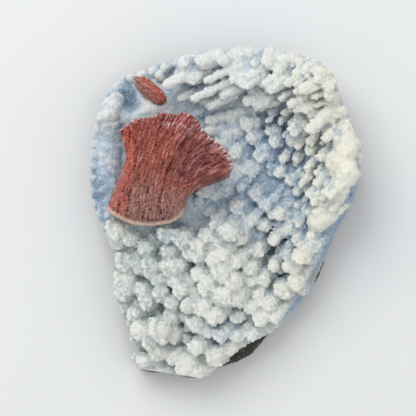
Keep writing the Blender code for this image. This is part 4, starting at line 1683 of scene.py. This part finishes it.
    def build(self) -> bpy.types.Object:
        """Builds and dresses the sheaf.

        Returns:
            The piece.
        """
        rng = random.Random(41)
        heap = Heap()
        self.add_core(heap)
        self.add_lip(heap)
        for rib in range(self.ribs):
            for layer in range(self.layers):
                self.add_rim_blade(heap, (rib + rng.uniform(0.2, 0.8)) / self.ribs, layer, rng)
        for _ in range(self.scales):
            self.add_scale(heap, rng)
        piece = new_object("heulandite_sheaf_blades", heap.whole)
        grow_together(piece, self.voxel)
        roughen(piece, 0.6 * MM, 0.3 * MM)
        bake_modifiers(piece)
        thin_out(piece, self.triangles)
        self.mark(piece.data)
        dress(piece, HeulanditeFinish().material(), Slot.HEULANDITE, "heulandite_sheaf")
        return piece

    def add_core(self, heap: Heap) -> None:
        """Adds the solid middle that the blades grow from.

        Args:
            heap: what it is added to.
        """
        columns, rows = 24, 6
        for column in range(columns):
            for row in range(rows):
                corners = []
                for fibre in (column / columns, (column + 1.2) / columns):
                    for step in (row / rows, (row + 1.1) / rows):
                        share = 0.03 + 0.9 * min(step, 1.0)
                        inner = 0.03 + 0.94 * min(fibre, 1.0)
                        place = self.plan(inner, share)
                        corners.append(Vector((*place, self.top(inner, share) - 0.9 * MM)))
                        corners.append(Vector((*place, self.under(share) + 0.8 * MM)))
                heap.add_hull(corners)

    def add_lip(self, heap: Heap) -> None:
        """Adds the smooth pale lip round the sheaf's base.

        Args:
            heap: what it is added to.
        """
        balls = []
        for step in range(self.lip_balls + 1):
            fibre = 0.04 + 0.88 * step / self.lip_balls
            centre = Vector((*self.plan(fibre, 0.025), self.top(fibre, 0.03) - self.lip_sink))
            balls.append((centre, self.lip_radius))
        heap.add_balls(balls)

    def add_blade(
        self,
        heap: Heap,
        fibre: float,
        ends: tuple[float, float],
        widths: tuple[float, float],
        lifts: tuple[float, float],
        thick: float,
    ) -> None:
        """Adds one thin flat-faced blade along the fibres, with a bevelled end.

        Args:
            heap: what it is added to.
            fibre: the fibre in its middle.
            ends: where it starts and ends on the fibre.
            widths: its width at the start and at the end.
            lifts: how far its top stands over the sheaf's face at the start and at the end.
            thick: its thickness.
        """
        step, bevel_drop, bevel_run, bevelled_width = 0.02, 0.25 * thick, 0.5 * MM, 0.8
        corners = []
        for share, width, lift in zip(ends, widths, lifts):
            place = self.plan(fibre, share)
            ahead = self.plan(fibre, share + step) - place
            side = Vector((-ahead.y, ahead.x)).normalized() * width / 2
            height = self.top(fibre, share) + lift
            at_end = share == ends[1]
            for way in (-1, 1):
                edge = place + side * way
                corners.append(Vector((*edge, height - (bevel_drop if at_end else 0.0))))
                corners.append(Vector((*edge, height - thick)))
                if at_end:
                    edge = place - ahead.normalized() * bevel_run + side * way * bevelled_width
                    corners.append(Vector((*edge, height)))
        heap.add_hull(corners)

    def add_rim_blade(self, heap: Heap, fibre: float, layer: int, rng: random.Random) -> None:
        """Adds a blade whose blocky end makes the flared rim.

        Args:
            heap: what it is added to.
            fibre: the fibre in its middle.
            layer: 0 for the top layer.
            rng: the source of chance.
        """
        depth = (self.heights[2] - self.unders[2]) / self.layers
        notch = 0.5 + 0.5 * noise.noise(Vector((fibre * 26, layer * 3.7, 0.0)))
        lift = -depth * layer + (rng.uniform(-0.7, 0.3) - 0.9 * notch) * MM
        end = rng.uniform(0.95, 1.0) - 0.06 * notch
        start = rng.uniform(0.5, 0.75)
        widths = (0.7 * MM, rng.uniform(0.8, 1.4) * MM)
        self.add_blade(heap, fibre, (start, end), widths, (lift - 0.4 * MM, lift), depth * 1.3)

    def add_scale(self, heap: Heap, rng: random.Random) -> None:
        """Adds a short blade that stands out a little from the sheaf's face.

        Args:
            heap: what it is added to.
            rng: the source of chance.
        """
        fibre = rng.random()
        start = rng.uniform(0.02, 0.93) if rng.random() < 0.8 else rng.uniform(0.02, 0.4)
        low = max(0.0, 1 - start / 0.5)
        end = min(0.985, start + rng.uniform(0.04, 0.16) * (1 - 0.7 * low))
        lift = rng.uniform(-0.9, 0.1) * (1 - 0.3 * low) * MM
        width = rng.uniform(0.35, 0.75) * (0.7 + 0.5 * start) * MM
        lifts = (lift - 0.4 * MM, lift + rng.uniform(0.0, 0.5) * MM)
        self.add_blade(heap, fibre, (start, end), (width, width), lifts, 1.6 * MM)

    def mark(self, mesh: bpy.types.Mesh) -> None:
        """Stores what the finish reads: fibre tone, ridges for painted crease shade, painted glints on
        blade ends, lip, wine lobe, painted light on the left flank.

        Args:
            mesh: the sheaf's mesh.
        """
        places = vertex_places(mesh)
        own = self.own_fibres(places)
        fibre, share = own.T
        below = np.array([self.top(*spot) for spot in own]) - places[:, 2]
        broad, narrow, sparkle = (
            np.array([noise.noise(Vector((f * self.ribs * across, s * along, layer))) for f, s in own])
            for across, along, layer in ((1.1, 7.0, 0.0), (2.7, 16.0, 5.0), (2.0, 20.0, 9.0))
        )
        tone = broad + 0.8 * narrow
        store(mesh, "fibre", np.clip(0.5 + 0.75 * tone, 0, 1))
        # Ridges, whose creases the finish paints dark as shade
        store(mesh, "ridge", ridges(mesh, places, 0.12 * MM, 2))
        row = (fibre > self.back_row[0]) & (fibre < self.back_row[1])
        front = row * eased(share, 0.82, 0.87) * (1 - eased(share, 0.88, 0.9))
        rim = np.maximum(eased(share, 0.9, 0.99) * (1 - eased(below, 1.5 * MM, 6 * MM)), front)
        # Painted glints on the blade ends at the rim
        store(mesh, "tip", rim * eased(sparkle, 0.0, 0.4) * 0.8)
        store(mesh, "pale", (0.6 + 0.5 * sparkle) * (1 - eased(share, 0.015, 0.045)))
        store(mesh, "along", share)
        lobe = eased(fibre, 0.5, 0.7) * eased(share, 0.3, 0.6)
        store(mesh, "wine", lobe * (1 - 0.5 * eased(fibre, 0.8, 1.0)))
        at_base, at_rim, _, _ = self.creases[0]
        crease = at_base + (at_rim - at_base) * share
        flank = 1 - eased(fibre, crease - 0.04, crease + 0.03)
        # Painted light on the left flank
        store(mesh, "painted_glow", np.clip(flank * (0.5 + 0.6 * tone) + 0.1 * share, 0, 1))

    def own_fibres(self, places: np.ndarray) -> np.ndarray:
        """Finds the fibre of each vertex, and where it is on it.

        Args:
            places: the vertices.

        Returns:
            One row of fibre and share for each vertex.
        """
        columns, rows = 160, 90
        spots = [
            (column / columns, row / rows) for column in range(columns + 1) for row in range(rows + 1)
        ]
        tree = KDTree(len(spots))
        for index, spot in enumerate(spots):
            tree.insert((*self.plan(*spot), 0.0), index)
        tree.balance()
        return np.array([spots[tree.find((x, y, 0.0))[1]] for x, y, _ in places])


@dataclass
class SmallCrystal:
    """The small lens-shaped heulandite crystal: thin upright plates side by side. Metres."""

    ground: Ground
    start: tuple[float, float] = (-33.5 * MM, 50.0 * MM)
    end: tuple[float, float] = (-21.5 * MM, 39.5 * MM)
    height: float = 8.0 * MM
    width: float = 5.6 * MM
    raised: float = 1.5 * MM
    plates: int = 11
    plate_layers: int = 4
    voxel: float = 0.14 * MM
    triangles: int = 60000

    def build(self) -> bpy.types.Object:
        """Builds and dresses the crystal.

        Returns:
            The piece.
        """
        rng = random.Random(3)
        heap = Heap()
        for plate in range(self.plates):
            share = 2 * plate / (self.plates - 1) - 1
            for _ in range(self.plate_layers):
                self.add_plate(heap, share, rng)
        piece = new_object("heulandite_crystal_plates", heap.whole)
        grow_together(piece, self.voxel)
        roughen(piece, 0.5 * MM, 0.12 * MM)
        bake_modifiers(piece)
        thin_out(piece, self.triangles)
        self.mark(piece.data)
        dress(piece, HeulanditeFinish().material(), Slot.HEULANDITE, "heulandite_crystal_small")
        return piece

    def middle(self) -> Vector:
        """Finds the crystal's middle, a little above the ground.

        Returns:
            The place in metres.
        """
        middle = (Vector((*self.start, 0.0)) + Vector((*self.end, 0.0))) / 2
        middle.z = self.ground.height(middle.x, middle.y) + self.raised
        return middle

    def add_plate(self, heap: Heap, share: float, rng: random.Random) -> None:
        """Adds one thin plate.

        Args:
            heap: what it is added to.
            share: its place across the width, from -1 to 1.
            rng: the source of chance.
        """
        along = Vector((*self.end, 0.0)) - Vector((*self.start, 0.0))
        length = along.length
        along.normalize()
        side = Vector((-along.y, along.x, 0.0))
        shift = rng.uniform(-0.1, 0.1) * length
        rounded = math.sqrt(1.0 - 0.6 * share * share)
        half = length / 2 * rounded * rng.uniform(0.75, 0.98) - abs(shift)
        thick = self.width / self.plates * rng.uniform(0.5, 0.8)
        tall = self.height / 2 * (1.0 - 0.35 * abs(share)) * rng.uniform(0.88, 0.99)
        spot = self.middle() + side * share * (self.width / 2 - thick) + along * shift
        corners = []
        for way in (-1, 1):
            for across in (-1, 1):
                edge = spot + side * across * thick
                corners.append(edge + along * way * half)
                corners.append(edge + along * way * half * rng.uniform(0.7, 0.85) + UP * tall)
                corners.append(edge + along * way * half * 0.6 - UP * tall)
        heap.add_hull(corners)

    def mark(self, mesh: bpy.types.Mesh) -> None:
        """Stores what the finish reads: painted light and glints along the upper right side, and wine
        red on the other, partly as painted shade.

        Args:
            mesh: the crystal's mesh.
        """
        streak = 0.8 * MM
        places = vertex_places(mesh)
        tone = np.array([noise.noise(Vector((x + y, y, z)) / streak) for x, y, z in places])
        upper = eased(places[:, 1] + places[:, 0], 13.5 * MM, 20 * MM)
        store(mesh, "fibre", np.clip(0.55 + 0.7 * tone, 0, 1))
        store(mesh, "ridge", ridges(mesh, places, 0.08 * MM, 2))
        # Painted glints on the upper right side
        store(mesh, "tip", eased(tone, 0.1, 0.6) * 0.45 * upper)
        store(mesh, "pale", np.zeros(len(places)))
        store(mesh, "painted_glow", 0.3 * upper)
        store(mesh, "along", 0.25 + 0.3 * upper)
        store(mesh, "wine", 0.3 * (1 - upper))


@dataclass
class BasaltPlate:
    """The basalt plate. Lengths are metres."""

    ground: Ground
    top: float = 7.4 * MM
    inset: float = 0.6 * MM
    waviness: float = 0.8 * MM
    waves: float = 3.5
    sawn_flat: float = 0.6 * MM
    voxel: float = 0.8 * MM
    triangles: int = 60000

    def build(self) -> bpy.types.Object:
        """Builds and dresses the plate.

        Returns:
            The piece.
        """
        bm = bmesh.new()
        made = bmesh.ops.create_circle(bm, cap_ends=True, segments=240, radius=1.0)
        for vert in made["verts"]:
            angle = math.atan2(vert.co.y, vert.co.x)
            out = towards(angle)
            reach = self.ground.reach(angle) + self.ground.shelf(angle) - self.inset
            vert.co = out * (reach + self.waviness * noise.noise(out * self.waves))
        made = bmesh.ops.extrude_face_region(bm, geom=list(bm.faces))
        raised = [item for item in made["geom"] if isinstance(item, bmesh.types.BMVert)]
        bmesh.ops.translate(bm, verts=raised, vec=UP * self.top)
        bmesh.ops.recalc_face_normals(bm, faces=bm.faces)
        piece = new_object("basalt_plate", bm)
        grow_together(piece, self.voxel)
        roughen(piece, 3.5 * MM, 1.0 * MM)
        roughen(piece, 1.0 * MM, 0.4 * MM)
        bake_modifiers(piece)
        for vert in piece.data.vertices:
            if vert.co.z < self.sawn_flat:
                vert.co.z = 0.0
        thin_out(piece, self.triangles)
        dress(piece, BasaltFinish().material(), Slot.BASALT, "basalt_matrix")
        return piece


class Lamp(NamedTuple):
    """A square soft light: its place and side in metres, and its power in watts."""

    name: str
    place: tuple[float, float, float]
    side: float
    power: float


@dataclass
class Studio:
    """Pale floor, soft lights and the camera that looks down on the specimen.

    Lengths are metres, the elevation degrees, and the camera's lens mm.
    """

    aim: tuple[float, float, float] = (-6.5 * MM, 1.4 * MM, 22.0 * MM)
    elevation: float = 85.0
    distance: float = 0.62
    lens: float = 149.0
    lamps: tuple[Lamp, ...] = (
        Lamp("key", (-0.35, 0.5, 0.75), 0.7, 5.2),
        Lamp("fill", (0.6, -0.35, 0.8), 0.9, 1.5),
    )
    air: str = "#f2f4f7"
    air_strength: float = 0.74
    floor_size: float = 3.0
    paper: str = "#dfe0e0"
    paper_roughness: float = 0.9

    def build(self) -> None:
        """Builds the whole studio."""
        self.add_floor()
        for lamp in self.lamps:
            self.add_lamp(lamp)
        world = bpy.data.worlds.new("studio air")
        bpy.context.scene.world = world
        world.use_nodes = True
        background = world.node_tree.nodes["Background"]
        background.inputs["Color"].default_value = to_linear(self.air)
        background.inputs["Strength"].default_value = self.air_strength
        self.add_camera()
        bpy.context.scene.view_settings.view_transform = "Standard"

    def add_floor(self) -> None:
        """Adds the pale floor."""
        bm = bmesh.new()
        bmesh.ops.create_grid(bm, x_segments=2, y_segments=2, size=self.floor_size / 2)
        floor = new_object("floor", bm)
        material, _, shader = new_material("pale paper")
        shader.inputs["Base Color"].default_value = to_linear(self.paper)
        shader.inputs["Roughness"].default_value = self.paper_roughness
        floor.data.materials.append(material)

    def add_lamp(self, lamp: Lamp) -> None:
        """Adds a soft light that faces the specimen.

        Args:
            lamp: the light.
        """
        data = bpy.data.lights.new(lamp.name, "AREA")
        data.size = lamp.side
        data.energy = lamp.power
        light = bpy.data.objects.new(lamp.name, data)
        bpy.context.scene.collection.objects.link(light)
        light.location = lamp.place
        away = Vector(self.aim) - Vector(lamp.place)
        light.rotation_euler = away.to_track_quat("-Z", "Y").to_euler()

    def add_camera(self) -> None:
        """Adds the camera."""
        data = bpy.data.cameras.new("camera")
        data.lens = self.lens
        camera = bpy.data.objects.new("camera", data)
        bpy.context.scene.collection.objects.link(camera)
        tilt = math.radians(90 - self.elevation)
        back = Vector((0.0, -math.sin(tilt), math.cos(tilt))) * self.distance
        camera.location = Vector(self.aim) + back
        camera.rotation_euler = (tilt, 0.0, 0.0)
        bpy.context.scene.camera = camera


def main() -> None:
    """Builds the specimen and its studio."""
    logging.basicConfig(level=logging.INFO, format="%(relativeCreated)d ms %(message)s")
    ground = Ground()
    sheaf = Sheaf()
    Studio().build()
    BasaltPlate(ground).build()
    Crust(ground, sheaf).build()
    sheaf.build()
    SmallCrystal(ground).build()


if __name__ == "__main__":
    main()
